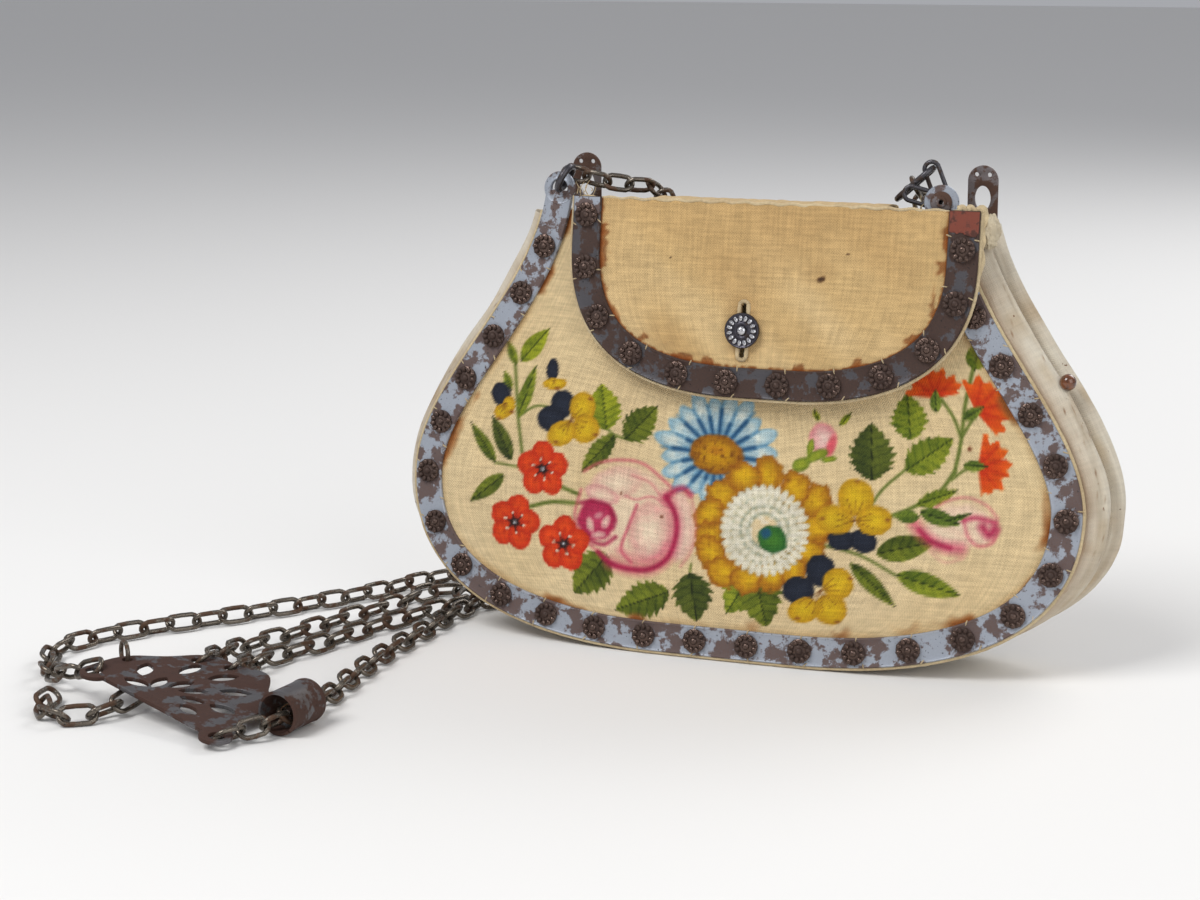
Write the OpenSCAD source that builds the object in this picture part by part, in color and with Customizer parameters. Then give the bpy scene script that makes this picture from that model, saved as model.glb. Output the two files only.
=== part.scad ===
// Flat hand bag (reticule) with steel edged front, back and flap, a hook plate and three chains.
// Millimetres, +Z up, the decorated front faces -Y, the bag stands on the flat of its gusset at z = 0.

/* [Bag] */
// width of the front and back panels at their widest
panel_w = 207; // [160:1:240]
// height of the panels along the cloth, up to the horns
panel_h = 137; // [110:1:160]
// half of the straight run at the bottom edge
flat_half = 20; // [8:1:40]
// distance from front to back at the floor
bag_depth = 38; // [28:1:60]
// backward lean of the front panel
front_lean = 8; // [3:0.5:10]
// forward lean of the back panel
back_lean = 1.5; // [0:0.5:4]
// how far the back panel sits to the right of the front one
back_shift = 6.5; // [0:0.5:10]
// how far the panels bow out in the middle
panel_bow = 6; // [3:0.5:10]
// thickness of the outer cloth
cloth_t = 1.2; // [0.8:0.1:2]
// thickness of the linings
lining_t = 0.7; // [0.4:0.1:1.2]
// dip of the front mouth edge below the horns
mouth_dip = 17; // [8:1:26]
// drop of the back panel's top and of the gusset's ends below the horns
back_drop = 7; // [4:0.5:12]
// outward swell of the two long folds of the gusset
fold_out = 3.6; // [1:0.2:5]
// thickness of the gusset cloth
gusset_t = 1.1; // [0.8:0.1:2]

/* [Steel edging] */
// width of the edging bands
band_w = 8.8; // [6:0.2:12]
// thickness of the edging bands
band_t = 0.9; // [0.6:0.1:1.4]
// strip of cloth left bare outside a band
bare_edge = 0.7; // [0.3:0.1:1.5]
// diameter of a rosette
rosette_d = 7.6; // [5:0.2:8]
// height of a rosette above its band
rosette_h = 1.7; // [1:0.1:2]
// diameter of the rosette pin
pin_d = 1.6; // [1:0.1:2]
// number of rosettes on the front band
front_count = 26; // [10:2:30]
// number of rosettes left on the flap band
flap_count = 12; // [6:1:14]
// clearance of pins and rivets in their holes
pin_gap = 0.3; // [0.2:0.02:0.4]

/* [Flap] */
// half of the width of the flap
flap_half = 61.5; // [45:0.5:64]
// offset of the flap to the right
flap_shift = 9.5; // [0:0.5:12]
// height of the flap from its lowest edge to its top edge
flap_h = 57.5; // [45:0.5:75]
// drop of the top edge of the flap below the horns
flap_drop = 2; // [0:0.5:5]
// space between the flap lining and the front panel
flap_gap = 3.2; // [3:0.1:5]
// space kept between cloth that moves and cloth that stays
soft_gap = 0.4; // [0.3:0.05:0.8]
// gap left for the seams between the gusset and the panels
seam_gap = 0.12; // [0.1:0.02:0.3]
// radius of the rolled hem on the flap hinge line
hem_r = 1.1; // [0.8:0.1:1.6]
// half width of the cloth bridge from the flap to the back
bridge_half = 34.8; // [20:0.1:40]

/* [Button] */
// across position of the button
button_u = 3.2; // [-10:0.2:14]
// drop of the button below the horns
button_drop = 39.2; // [30:0.2:50]
// diameter of the button head
button_d = 10.4; // [8:0.2:12]
// diameter of the button shank
shank_d = 2.2; // [1.6:0.1:3]
// height of the buttonhole
slit_h = 17; // [13:0.5:22]
// width of the closed buttonhole
slit_w = 2.8; // [2.4:0.1:4]

/* [Corner fittings] */
// rise of the eyelet centres above the front horns
eyelet_rise = 0.2; // [0:0.1:3]
// hole of the left eyelet
eyelet_hole = 5.2; // [4.6:0.1:6]
// width of an ear plate on the back horns
ear_w = 8.8; // [7:0.2:10]
// rise of the ear plates above the top of the back panel
ear_rise = 15.5; // [12:0.5:20]
// seat of the ear plates below the top of the back panel
ear_seat = 16; // [12:0.5:20]
// height of the oval hole in an ear plate
ear_hole = 7.2; // [5:0.2:9]
// depth of the oval hole below the top of its ear plate
ear_hole_drop = 9.4; // [7:0.2:11]
// diameter of the ear rivets
rivet_d = 1.8; // [1.2:0.1:2.4]
// thickness of the ear plates
ear_t = 0.9; // [0.6:0.1:1.4]
// diameter of the bead sewn to the right gusset
bead_d = 5; // [3:0.2:7]

/* [Chains and hook plate] */
// wire of the long chain links
wire_d = 1.5; // [1.2:0.1:2]
// outer length of a long link
link_l = 11.8; // [9:0.2:14]
// outer width of a long link
link_w = 6.8; // [5.5:0.1:9]
// outer length of a short link
short_l = 9.8; // [8:0.2:12]
// slack left between two links
link_slack = 0.12; // [0.05:0.01:0.3]
// half length of the straight edge of the hook plate
plate_half = 27; // [20:0.5:34]
// height of the lobed edge of the hook plate
plate_rise = 38; // [28:0.5:46]
// thickness of the hook plate
plate_t = 1.3; // [1:0.1:2]
// outer diameter of the rolled collar
collar_d = 12.4; // [11:0.2:16]
// length of the rolled collar
collar_l = 14.5; // [10:0.5:20]
// sheet of the rolled collar
collar_t = 0.9; // [0.6:0.1:1.4]

/* [Node] */
// sub-part to draw, or all

/* [Hidden] */
$fn = 96;

half_w = panel_w / 2;
flap_top = panel_h - flap_drop;
flap_low = flap_top - flap_h;
button_v = panel_h - button_drop;
eyelet_v = panel_h + eyelet_rise;
back_top = panel_h - back_drop;
ear_top = back_top + ear_rise;
bow_r = (half_w * half_w + panel_bow * panel_bow) / (2 * panel_bow);
front_z = cloth_t * sin(front_lean);
back_z = cloth_t * sin(back_lean);
horn_x = 0.61 * half_w;
steps = 12;
low_curve = [[flat_half, 0], [0.70 * half_w, 0], [half_w, 0.115 * panel_h], [half_w, 0.36 * panel_h]];
high_curve = [[half_w, 0.36 * panel_h], [half_w, 0.56 * panel_h],
  [0.635 * half_w, 0.76 * panel_h], [horn_x, panel_h]];
panel_curves = [low_curve, high_curve];
flap_mid_v = flap_low + 0.73 * flap_h;
flap_curves = [
  [[0.13 * flap_half, flap_low], [0.71 * flap_half, flap_low], [flap_half, flap_low + 0.26 * flap_h],
    [flap_half, flap_mid_v]],
  [[flap_half, flap_mid_v], [flap_half, flap_mid_v + 4], [flap_half, flap_top - 4], [flap_half, flap_top]]];
band_mid = bare_edge + band_w / 2;
horn_mid = horn_x - band_mid;
flap_w0 = flap_gap + lining_t;
flap_w1 = flap_w0 + cloth_t;

// curves
function bez(p, t) = pow(1 - t, 3) * p[0] + 3 * pow(1 - t, 2) * t * p[1]
  + 3 * (1 - t) * t * t * p[2] + t * t * t * p[3];
function bez_dir(p, t) = let (d = (1 - t) * (1 - t) * (p[1] - p[0]) + 2 * (1 - t) * t * (p[2] - p[1])
  + t * t * (p[3] - p[2])) d / norm(d);
function moved(p, dir, d) = p + d * [-dir[1], dir[0]];
function half_edge(curves, d) = concat(
  [[0, curves[0][0][1] + d]],
  [for (i = [0:steps]) moved(bez(curves[0], i / steps), bez_dir(curves[0], i / steps), d)],
  [for (i = [1:steps]) moved(bez(curves[1], i / steps), bez_dir(curves[1], i / steps), d)]);
function turned(pts) = [for (i = [len(pts) - 1:-1:0]) pts[i]];
function flipped(pts) = [for (p = pts) [-p[0], p[1]]];
function full_edge(curves, d) = let (h = half_edge(curves, d))
  concat(turned(flipped(h)), [for (i = [1:len(h) - 1]) h[i]]);
function shifted(pts, s) = [for (p = pts) [p[0] + s, p[1]]];
function band_shape(curves) = concat(full_edge(curves, bare_edge), turned(full_edge(curves, bare_edge + band_w)));
function below(pts, v) = [for (p = pts) if (p[1] <= v) p];
function mouth(u) = panel_h - 6 - mouth_dip * (1 + cos(180 * u / horn_mid)) / 2;

// running length along points, and the point at one length
function run(pts, i) = i == 0 ? 0 : run(pts, i - 1) + norm(pts[i] - pts[i - 1]);
function run_table(pts) = [for (i = [0:len(pts) - 1]) run(pts, i)];
function point_at(pts, sums, s) = [for (k = [0:len(pts[0]) - 1])
  lookup(s, [for (i = [0:len(pts) - 1]) [sums[i], pts[i][k]]])];

// points on the bowed panels, u across, v up the cloth, w outward
function bow_in(u, w) = sqrt((bow_r + w) * (bow_r + w) - u * u) - bow_r;
function front_pt(u, v, w) = [u,
  -bag_depth / 2 + v * sin(front_lean) - bow_in(u, w) * cos(front_lean),
  front_z + v * cos(front_lean) + bow_in(u, w) * sin(front_lean)];
function back_pt(u, v, w) = [u + back_shift,
  bag_depth / 2 - v * sin(back_lean) + bow_in(u, w) * cos(back_lean),
  back_z + v * cos(back_lean) + bow_in(u, w) * sin(back_lean)];

// places the panel frame on the front or the back of the bag
module on_front() {
  translate([0, -bag_depth / 2, front_z]) rotate([-front_lean, 0, 0]) rotate([90, 0, 0]) children();
}
module on_back() {
  translate([back_shift, bag_depth / 2, back_z]) rotate([back_lean, 0, 0]) rotate([90, 0, 180]) children();
}
// seats a piece on the bowed surface at one point
module seated(u, v, w) {
  translate([0, 0, -bow_r]) rotate([0, asin(u / (bow_r + w)), 0]) translate([0, v, bow_r + w]) children();
}
// a bowed sheet between two depths, cut to a flat outline
module sheet(w0, w1) {
  intersection() {
    translate([0, -20, -bow_r]) rotate([-90, 0, 0]) difference() {
      cylinder(r = bow_r + w1, h = panel_h + 60, $fn = 200);
      translate([0, 0, -1]) cylinder(r = bow_r + w0, h = panel_h + 62, $fn = 200);
    }
    translate([0, 0, -panel_bow * 2 - 4]) linear_extrude(height = panel_bow * 2 + 20) children();
  }
}

// rosettes sit at even steps along the middle of a band
front_mid = full_edge(panel_curves, band_mid);
front_sums = run_table(front_mid);
front_len = front_sums[len(front_sums) - 1];
front_start = 17.5;
front_step = (front_len - 2 * front_start) / (front_count - 1);
front_spots = [for (i = [0:front_count - 1]) point_at(front_mid, front_sums, front_start + i * front_step)];
flap_mid = shifted(full_edge(flap_curves, band_mid), flap_shift);
flap_sums = run_table(flap_mid);
flap_len = flap_sums[len(flap_sums) - 1];
flap_start = 5.5;
flap_end = 11;
flap_step = (flap_len - flap_start - flap_end) / (flap_count - 1);
flap_spots = [for (i = [0:flap_count - 1]) point_at(flap_mid, flap_sums, flap_start + i * flap_step)];
pin_l = band_t + cloth_t;

module rosette() {
  r = rosette_d / 2;
  intersection() {
    rotate_extrude() polygon([[0, -pin_l], [pin_d / 2, -pin_l], [pin_d / 2, 0], [r, 0], [r, 0.5],
      [0.78 * r, 0.72 * rosette_h], [0.52 * r, 0.36 * rosette_h], [0.36 * r, 0.5 * rosette_h],
      [0.3 * r, 0.86 * rosette_h], [0, rosette_h]]);
    translate([0, 0, -pin_l - 1]) linear_extrude(height = pin_l + rosette_h + 2)
      polygon([for (i = [0:19]) (i % 2 == 0 ? r : 0.84 * r) * [cos(18 * i), sin(18 * i)]]);
  }
}
module pin_holes(spots) {
  for (p = spots) translate(p) circle(d = pin_d + 2 * pin_gap, $fn = 24);
}

// front
module front_outline(d, drop) {
  edge = below(full_edge(panel_curves, d), panel_h - 5 - drop);
  last = edge[len(edge) - 1][0];
  first = edge[0][0];
  polygon(concat(edge, [for (i = [0:24]) let (u = last + (first - last) * i / 24) [u, mouth(u) - drop]]));
}
module front_panel() {
  color([0.87, 0.77, 0.58]) on_front() sheet(-cloth_t, 0) difference() {
    front_outline(0, 0);
    pin_holes(front_spots);
    translate([button_u, button_v]) circle(d = shank_d + 2 * pin_gap, $fn = 32);
  }
}
module front_band() {
  color([0.55, 0.56, 0.62]) on_front() sheet(0, band_t) difference() {
    union() {
      polygon(band_shape(panel_curves));
      for (s = [-1, 1]) translate([s * horn_mid, eyelet_v]) circle(r = band_w / 2 + 0.6, $fn = 48);
    }
    translate([-horn_mid, eyelet_v]) circle(d = eyelet_hole, $fn = 48);
    translate([horn_mid, eyelet_v]) circle(d = post_d + 2 * pin_gap, $fn = 32);
    pin_holes(front_spots);
  }
}
module front_rosettes() {
  color([0.30, 0.20, 0.15]) on_front() for (p = front_spots) seated(p[0], p[1], band_t) rosette();
}
module front_lining() {
  color([0.90, 0.85, 0.72]) on_front() sheet(-cloth_t - lining_t, -cloth_t) difference() {
    front_outline(gusset_t + 1.5, 3);
    translate([button_u, button_v]) circle(d = shank_d + 2, $fn = 32);
  }
}

// back
ear_u = horn_mid + 0.3 * ear_w;
ear_low = back_top - ear_seat;
rivet_step = 0.44 * ear_seat;
ear_spots = [for (s = [-1, 1]) for (k = [0, 1])
  [s * (ear_u - 0.18 * ear_w * (1 - k)), ear_low + rivet_step * (0.71 + k)]];
module back_outline(d, drop) {
  polygon(below(full_edge(panel_curves, d), back_top - drop));
}
module back_panel() {
  color([0.84, 0.74, 0.55]) on_back() sheet(-cloth_t, 0) difference() {
    back_outline(0, 0);
    rivet_holes();
  }
}
module back_band() {
  color([0.42, 0.38, 0.38]) on_back() sheet(0, band_t) difference() {
    polygon(concat(below(full_edge(panel_curves, bare_edge), back_top),
      turned(below(full_edge(panel_curves, bare_edge + band_w), back_top))));
    rivet_holes();
  }
}
module back_lining() {
  color([0.90, 0.85, 0.72]) on_back() sheet(-cloth_t - lining_t, -cloth_t) back_outline(gusset_t + 1.5, 3);
}
module rivet_holes() {
  for (p = ear_spots) translate(p) circle(d = rivet_d + 2 * pin_gap, $fn = 24);
}
// an ear plate, drawn about the middle line of its back horn
module ear(s) {
  on_back() seated(s * ear_u, 0, band_t) linear_extrude(height = ear_t) difference() {
    union() {
      translate([-ear_w / 2, ear_low]) square([ear_w, ear_top - ear_w / 2 - ear_low]);
      translate([0, ear_top - ear_w / 2]) circle(d = ear_w, $fn = 64);
    }
    for (x = [-1, 1]) translate([0.216 * ear_w * x, ear_top - 0.295 * ear_w]) circle(d = 0.148 * ear_w, $fn = 20);
    translate([0, ear_top - ear_hole_drop]) scale([0.66, 1]) circle(d = ear_hole, $fn = 48);
    for (p = ear_spots) if (p[0] * s > 0) translate([p[0] - s * ear_u, p[1]])
      circle(d = rivet_d + 2 * pin_gap, $fn = 24);
  }
}
module left_ear() {
  color([0.36, 0.28, 0.24]) ear(1);
}
module right_ear() {
  color([0.36, 0.28, 0.24]) ear(-1);
}
rivet_l = (band_t + ear_t + cloth_t) / (rivet_d / 2);
module ear_rivets() {
  color([0.45, 0.40, 0.36]) on_back() for (p = ear_spots) seated(p[0], p[1], band_t + ear_t) rotate_extrude()
    polygon(rivet_d / 2 * [[0, -rivet_l], [1, -rivet_l], [1, 0.02], [1.78, 0.02], [1.44, 0.67], [0, 0.89]]);
}

// gusset with two long folds, swept from the front edge to the back edge
gusset_top = panel_h - back_drop;
gusset_rim = below(full_edge(panel_curves, 0), gusset_top);
ring_count = len(gusset_rim);
spans = 10;
function rim_normal(i) = let (
  a = gusset_rim[max(i - 1, 0)],
  b = gusset_rim[min(i + 1, ring_count - 1)],
  d = (b - a) / norm(b - a)) [d[1], 0, -d[0]];
function fold_share(v) = let (t = min(max((v - 8) / 34, 0), 1)) t * t * (3 - 2 * t);
function gusset_pt(i, q, inner) = let (
  p = gusset_rim[i],
  a = front_pt(p[0], p[1], -cloth_t - seam_gap),
  b = back_pt(p[0], p[1], -cloth_t - seam_gap),
  n = rim_normal(i),
  h = fold_out * fold_share(p[1]) * pow(sin(360 * q), 2))
  a + (b - a) * q + n * (h - (inner ? gusset_t : 0));
gusset_ring = 2 * (spans + 1);
module gusset() {
  pts = [for (i = [0:ring_count - 1]) for (j = [0:gusset_ring - 1])
    j <= spans ? gusset_pt(i, j / spans, false) : gusset_pt(i, (gusset_ring - 1 - j) / spans, true)];
  sides = [for (i = [0:ring_count - 2]) for (j = [0:gusset_ring - 1]) let (
    a = i * gusset_ring + j,
    b = i * gusset_ring + (j + 1) % gusset_ring,
    c = a + gusset_ring,
    d = b + gusset_ring) each [[a, b, d], [a, d, c]]];
  ends = [for (e = [0, 1]) for (j = [0:spans - 1]) let (
    o = e * (ring_count - 1) * gusset_ring,
    a = o + j,
    b = o + j + 1,
    c = o + gusset_ring - 2 - j,
    d = o + gusset_ring - 1 - j) each (e == 0 ? [[a, d, c], [a, c, b]] : [[a, c, d], [a, b, c]])];
  color([0.82, 0.79, 0.72]) polyhedron(points = pts, faces = concat(sides, ends), convexity = 10);
}
// a crumpled fold of the lining at the right of the mouth
module lining_fold() {
  x0 = bridge_half + flap_shift - 2 + soft_gap;
  wave = [for (i = [0:32]) let (x = x0 + 9.6 * i / 32) [x, front_pt(x, panel_h - 10, -cloth_t - lining_t)[1]
    + 1.3 + 1.1 * sin(360 * i / 11)]];
  thick = [for (p = turned(wave)) p + [0, 0.8]];
  color([0.92, 0.88, 0.78]) translate([0, 0, panel_h - 15]) linear_extrude(height = 11.6)
    polygon(concat(wave, thick));
}
bead_ring = ring_count - 7;
module side_bead() {
  color([0.45, 0.22, 0.08]) translate(gusset_pt(bead_ring, 0.25, false) + rim_normal(bead_ring) * bead_d / 2)
    sphere(d = bead_d, $fn = 48);
}

// flap, turning on the top edge of the back panel
hinge_y = back_pt(-back_shift, back_top, -cloth_t / 2)[1];
hinge_z = back_pt(-back_shift, back_top, 0)[2] + soft_gap + hem_r;
flap_edge = front_pt(flap_shift, flap_top - 1.5, flap_w0 + cloth_t / 2);
module flap_shape(d) {
  polygon(shifted(full_edge(flap_curves, d), flap_shift));
}
module slit_hole(extra) {
  translate([button_u, button_v]) {
    translate([-button_d / 2 - extra, button_d / 2 - slit_h / 2])
      square([button_d + 2 * extra, slit_h - button_d]);
    for (s = [-1, 1]) translate([0, s * (slit_h - button_d) / 2]) circle(d = button_d + 2 * extra, $fn = 64);
  }
}
module flap_cloth() {
  color([0.76, 0.62, 0.40]) {
    on_front() sheet(flap_w0, flap_w1) difference() {
      flap_shape(0);
      slit_hole(0.7);
      pin_holes(flap_spots);
    }
    translate([flap_shift - 2 - bridge_half, 0, 0]) rotate([90, 0, 90]) linear_extrude(height = 2 * bridge_half)
      polygon([[flap_edge[1] + 0.1, flap_edge[2] + 0.5], [flap_edge[1] + 0.1, flap_edge[2] - 0.6],
        [hinge_y, hinge_z - 0.5], [hinge_y, hinge_z + 0.5]]);
    translate([flap_shift - 2 - bridge_half, hinge_y, hinge_z]) rotate([0, 90, 0])
      cylinder(r = hem_r, h = 2 * bridge_half, $fn = 32);
  }
}
module flap_lining() {
  color([0.90, 0.85, 0.72]) on_front() sheet(flap_gap, flap_w0) intersection() {
    difference() {
      flap_shape(bare_edge);
      slit_hole(0.7);
    }
    translate([-200, 0]) square([400, flap_top - 5]);
  }
}
module flap_band() {
  color([0.27, 0.24, 0.27]) on_front() sheet(flap_w1, flap_w1 + band_t) difference() {
    polygon(shifted(band_shape(flap_curves), flap_shift));
    pin_holes(flap_spots);
  }
}
module flap_rosettes() {
  color([0.28, 0.18, 0.14]) on_front() for (p = flap_spots) seated(p[0], p[1], flap_w1 + band_t) rosette();
}
// the two soft lips of the buttonhole, parted by a slit
module buttonhole_lips() {
  color([0.80, 0.70, 0.50]) on_front() sheet(flap_w0, flap_w1) difference() {
    slit_hole(0.65);
    translate([button_u - slit_w / 2, button_v - slit_h / 2 + 1]) square([slit_w, slit_h - 2]);
  }
}

// button
head_w = flap_w1 + 0.5;
module button_head() {
  r = button_d / 2;
  color([0.20, 0.17, 0.18]) on_front() seated(button_u, button_v, head_w) difference() {
    rotate_extrude() polygon([[0, 0], [r, 0], [r, 1], [0.93 * r, 1.3], [0.86 * r, 1.1], [0.5 * r, 1.2],
      [0.44 * r, 1.5], [0.34 * r, 1.5], [0.28 * r, 1.2], [0, 1.2]]);
    translate([0, 0, -1]) cylinder(d = shank_d + 2 * pin_gap, h = 5, $fn = 32);
  }
}
module button_studs() {
  color([0.62, 0.62, 0.66]) on_front() seated(button_u, button_v, head_w) for (i = [0:14]) rotate(24 * i)
    translate([0.7 * button_d / 2, 0, 1.2]) cylinder(d1 = 1.3, d2 = 0.5, h = 0.8, $fn = 24);
}
module button_shank() {
  color([0.34, 0.30, 0.30]) on_front() seated(button_u, button_v, 0) rotate_extrude()
    polygon([[0, -cloth_t - 0.6], [shank_d / 2 + 0.7, -cloth_t - 0.6], [shank_d / 2 + 0.7, -cloth_t],
      [shank_d / 2, -cloth_t], [shank_d / 2, head_w + 1.25], [0.9, head_w + 1.9], [0, head_w + 2.1]]);
}

// an oval link in the XZ plane, long way on X, built from two half rings and two rods
module oval_link(length, width, wire) {
  c = (width - wire) / 2;
  s = length / 2 - width / 2;
  rotate([90, 0, 0]) union() {
    for (k = [-1, 1]) {
      translate([k * s, 0, 0]) rotate([0, 0, k > 0 ? -90 : 90]) rotate_extrude(angle = 180)
        translate([c, 0]) circle(d = wire, $fn = 20);
      translate([-s, k * c, 0]) rotate([0, 90, 0]) cylinder(d = wire, h = 2 * s, $fn = 20);
    }
  }
}

// corner fittings
post_d = 2.4;
ring_wire = 2.1;
left_ring_r = 3.9;
left_eye = front_pt(-horn_mid, eyelet_v, band_t / 2);
module left_ring() {
  color([0.24, 0.22, 0.24]) translate(left_eye) rotate([0, -62, 0]) translate([left_ring_r - 0.4, 0, 0])
    rotate([90, 0, 0]) rotate([90, 0, 0]) rotate_extrude() translate([left_ring_r, 0]) circle(d = ring_wire, $fn = 24);
}
// washer and hollow rivet at the end of the right horn, with a post behind it for the loops
post_l = 8.2;
module right_post() {
  color([0.50, 0.44, 0.40]) on_front() seated(horn_mid, eyelet_v, band_t) rotate_extrude()
    polygon([[0.7, -post_l], [1.9, -post_l], [1.9, -post_l + 0.7], [post_d / 2, -post_l + 0.7], [post_d / 2, 0],
      [3.1, 0], [3.1, 0.5], [1.5, 0.6], [1.3, 1], [0.7, 1]]);
}
post_eye = front_pt(horn_mid, eyelet_v, band_t);
ring_mid = [post_eye[0] - 9.2, post_eye[1] + 7.4, post_eye[2] + 4.4];
ring_turn = 42;
ring_long = 15.6;
loop_wire = 1.3;
loop_gap = 0.2;
module loop_link(angle, back, length) {
  on_front() seated(horn_mid, eyelet_v, band_t) translate([0, 0, -back]) rotate(-angle)
    translate([post_d / 2 + loop_gap + loop_wire - length / 2, 0, 0]) rotate([90, 0, 0])
    oval_link(length, post_d + 2 * loop_wire + 0.5, loop_wire);
}
module corner_loops() {
  color([0.40, 0.30, 0.20]) {
    loop_link(67, 5.4, 15.8);
    loop_link(14, 1.9, 14.7);
  }
}
module corner_ring() {
  color([0.18, 0.16, 0.16]) translate(ring_mid) rotate([0, -ring_turn, 0]) rotate([90, 0, 0])
    oval_link(ring_long, 8.6, 1.7);
}

// chains: links along a smooth path through a few points, each turned a quarter from the last
function spline_pt(p, i, t) = let (
  a = p[max(i - 1, 0)], b = p[i], c = p[i + 1], d = p[min(i + 2, len(p) - 1)],
  q = 0.5 * (2 * b + (c - a) * t + (2 * a - 5 * b + 4 * c - d) * t * t + (3 * b - a - 3 * c + d) * t * t * t))
  [q[0], q[1], max(q[2], lie)];
function path_of(p) = concat([for (i = [0:len(p) - 2]) for (k = [0:7]) spline_pt(p, i, k / 8)], [p[len(p) - 1]]);
function unit(v) = v / norm(v);
// carries the upright of the last link back along the chain without twist
function upright(dirs, i) = let (v = i == len(dirs) - 1 ? [0, 0, 1] : upright(dirs, i + 1))
  unit(v - (v * dirs[i]) * dirs[i]);
module chain(points, length, wire) {
  path = path_of(points);
  sums = run_table(path);
  total = sums[len(sums) - 1];
  count = ceil(total / (length - 2 * wire - link_slack));
  knots = [for (i = [0:count]) point_at(path, sums, i * total / count)];
  dirs = [for (i = [0:count - 1]) unit(knots[i + 1] - knots[i])];
  for (i = [0:count - 1]) {
    m = (knots[i] + knots[i + 1]) / 2;
    x = dirs[i];
    z = upright(dirs, i);
    y = cross(z, x);
    multmatrix([[x[0], y[0], z[0], m[0]], [x[1], y[1], z[1], m[1]], [x[2], y[2], z[2], m[2]], [0, 0, 0, 1]])
      rotate([i % 2 == 0 ? 45 : -45, 0, 0]) oval_link(length, link_w, wire);
  }
}
plate_mid = [-127, -130, 6];
plate_turn = -23;
plate_tilt = 7;
top_eyes = [-17, -7.5];
lie = (link_w - wire_d) / 2 * cos(45) + wire_d / 2;
hang_y = bag_depth / 2 + band_t + lie + 0.6;
top_y = back_pt(0, back_top, 0)[1];
top_z = back_pt(0, back_top, 0)[2] + lie + 1;
left_x = flap_shift - 2 - bridge_half - lie - 1.6;
left_points = [
  left_eye + [0.4, 3.84, 4.55],
  [left_x - 10.1, top_y - 8.7, top_z + 3.74],
  [left_x - 1, top_y - 2.5, top_z + 2.4],
  [left_x + 0.6, hang_y - 1.2, top_z - 3.5],
  [left_x, hang_y, top_z - 17],
  [left_x - 1, hang_y, 70],
  [left_x - 2, hang_y + 0.5, 24],
  [left_x - 8, hang_y + 3, 8],
  [left_x - 20, hang_y + 4, lie],
  [left_x - 40, hang_y + 1, lie],
  [-86, 12, lie],
  [-91, -6, lie],
  [-91.5, -24, lie],
  [-93, -50, lie],
  [-92, -76, lie],
  [-90, -98, lie],
  [-89.6, -111.2, lie + collar_t + 1.08],
  [-90.6, -126.5, lie + collar_t + 1.24],
  plate_eye(1) + [5.51, 7.77, 0.71],
  plate_eye(1) + [0.01, 0.68, -0.05]];
right_x = flap_shift - 2 + bridge_half + lie + 4.2;
right_points = [
  ring_mid + [-1.09, 2.6, -0.42],
  [right_x - 0.6, top_y + 1.5, top_z + 3.2],
  [right_x, hang_y - 1, top_z - 4.5],
  [right_x + 1, hang_y, top_z - 17],
  [right_x + 1, hang_y, 70],
  [right_x, hang_y + 0.5, 26],
  [right_x - 7, hang_y + 4, 8],
  [right_x - 22, hang_y + 7, lie],
  [0, hang_y + 16, lie],
  [-60, hang_y + 24, lie],
  [-104, 42, lie],
  [-128, 4, lie],
  [-151, -28, lie],
  [-176, -58, lie],
  [-186.5, -80, lie],
  [-180, -98, lie],
  [-169.3, -110.3, lie + 2.1],
  plate_eye(-1) + [0.55, 1.66, 1.34]];
loop_points = [
  top_eye(0) + [1.02, 0.67, 0.61],
  [-134.15, -65.5, lie + 1.06],
  [-127, -42, lie],
  [-119.5, -20, lie],
  [-111.5, 0, lie],
  [-110, 11.6, lie],
  [-104.25, 20.15, lie],
  [-95.4, 17.65, lie],
  [-93.85, 6.85, lie],
  [-98, -4, lie],
  [-108, -28, lie],
  [-116, -53, lie],
  [-122.7, -71.7, lie + 0.4],
  top_eye(1) + [0.55, 1.03, 0.52]];
tail_points = [
  [-163, -121.5, lie],
  [-161, -132, lie],
  [-151, -138, lie],
  [-142, -131.5, lie],
  [-138, -119, lie + 2.2]];
module chain_left() {
  color([0.24, 0.18, 0.15]) chain(left_points, short_l, wire_d);
}
module chain_right() {
  color([0.24, 0.19, 0.16]) chain(right_points, link_l, wire_d);
}
module chain_loop() {
  color([0.25, 0.19, 0.16]) chain(loop_points, link_l, wire_d);
}
module chain_tail() {
  color([0.34, 0.25, 0.16]) chain(tail_points, link_l, wire_d);
}

// pierced hook plate, lying with its left side up on the chain
module on_plate() {
  translate(plate_mid) rotate([0, 0, plate_turn]) rotate([0, plate_tilt, 0]) children();
}
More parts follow.
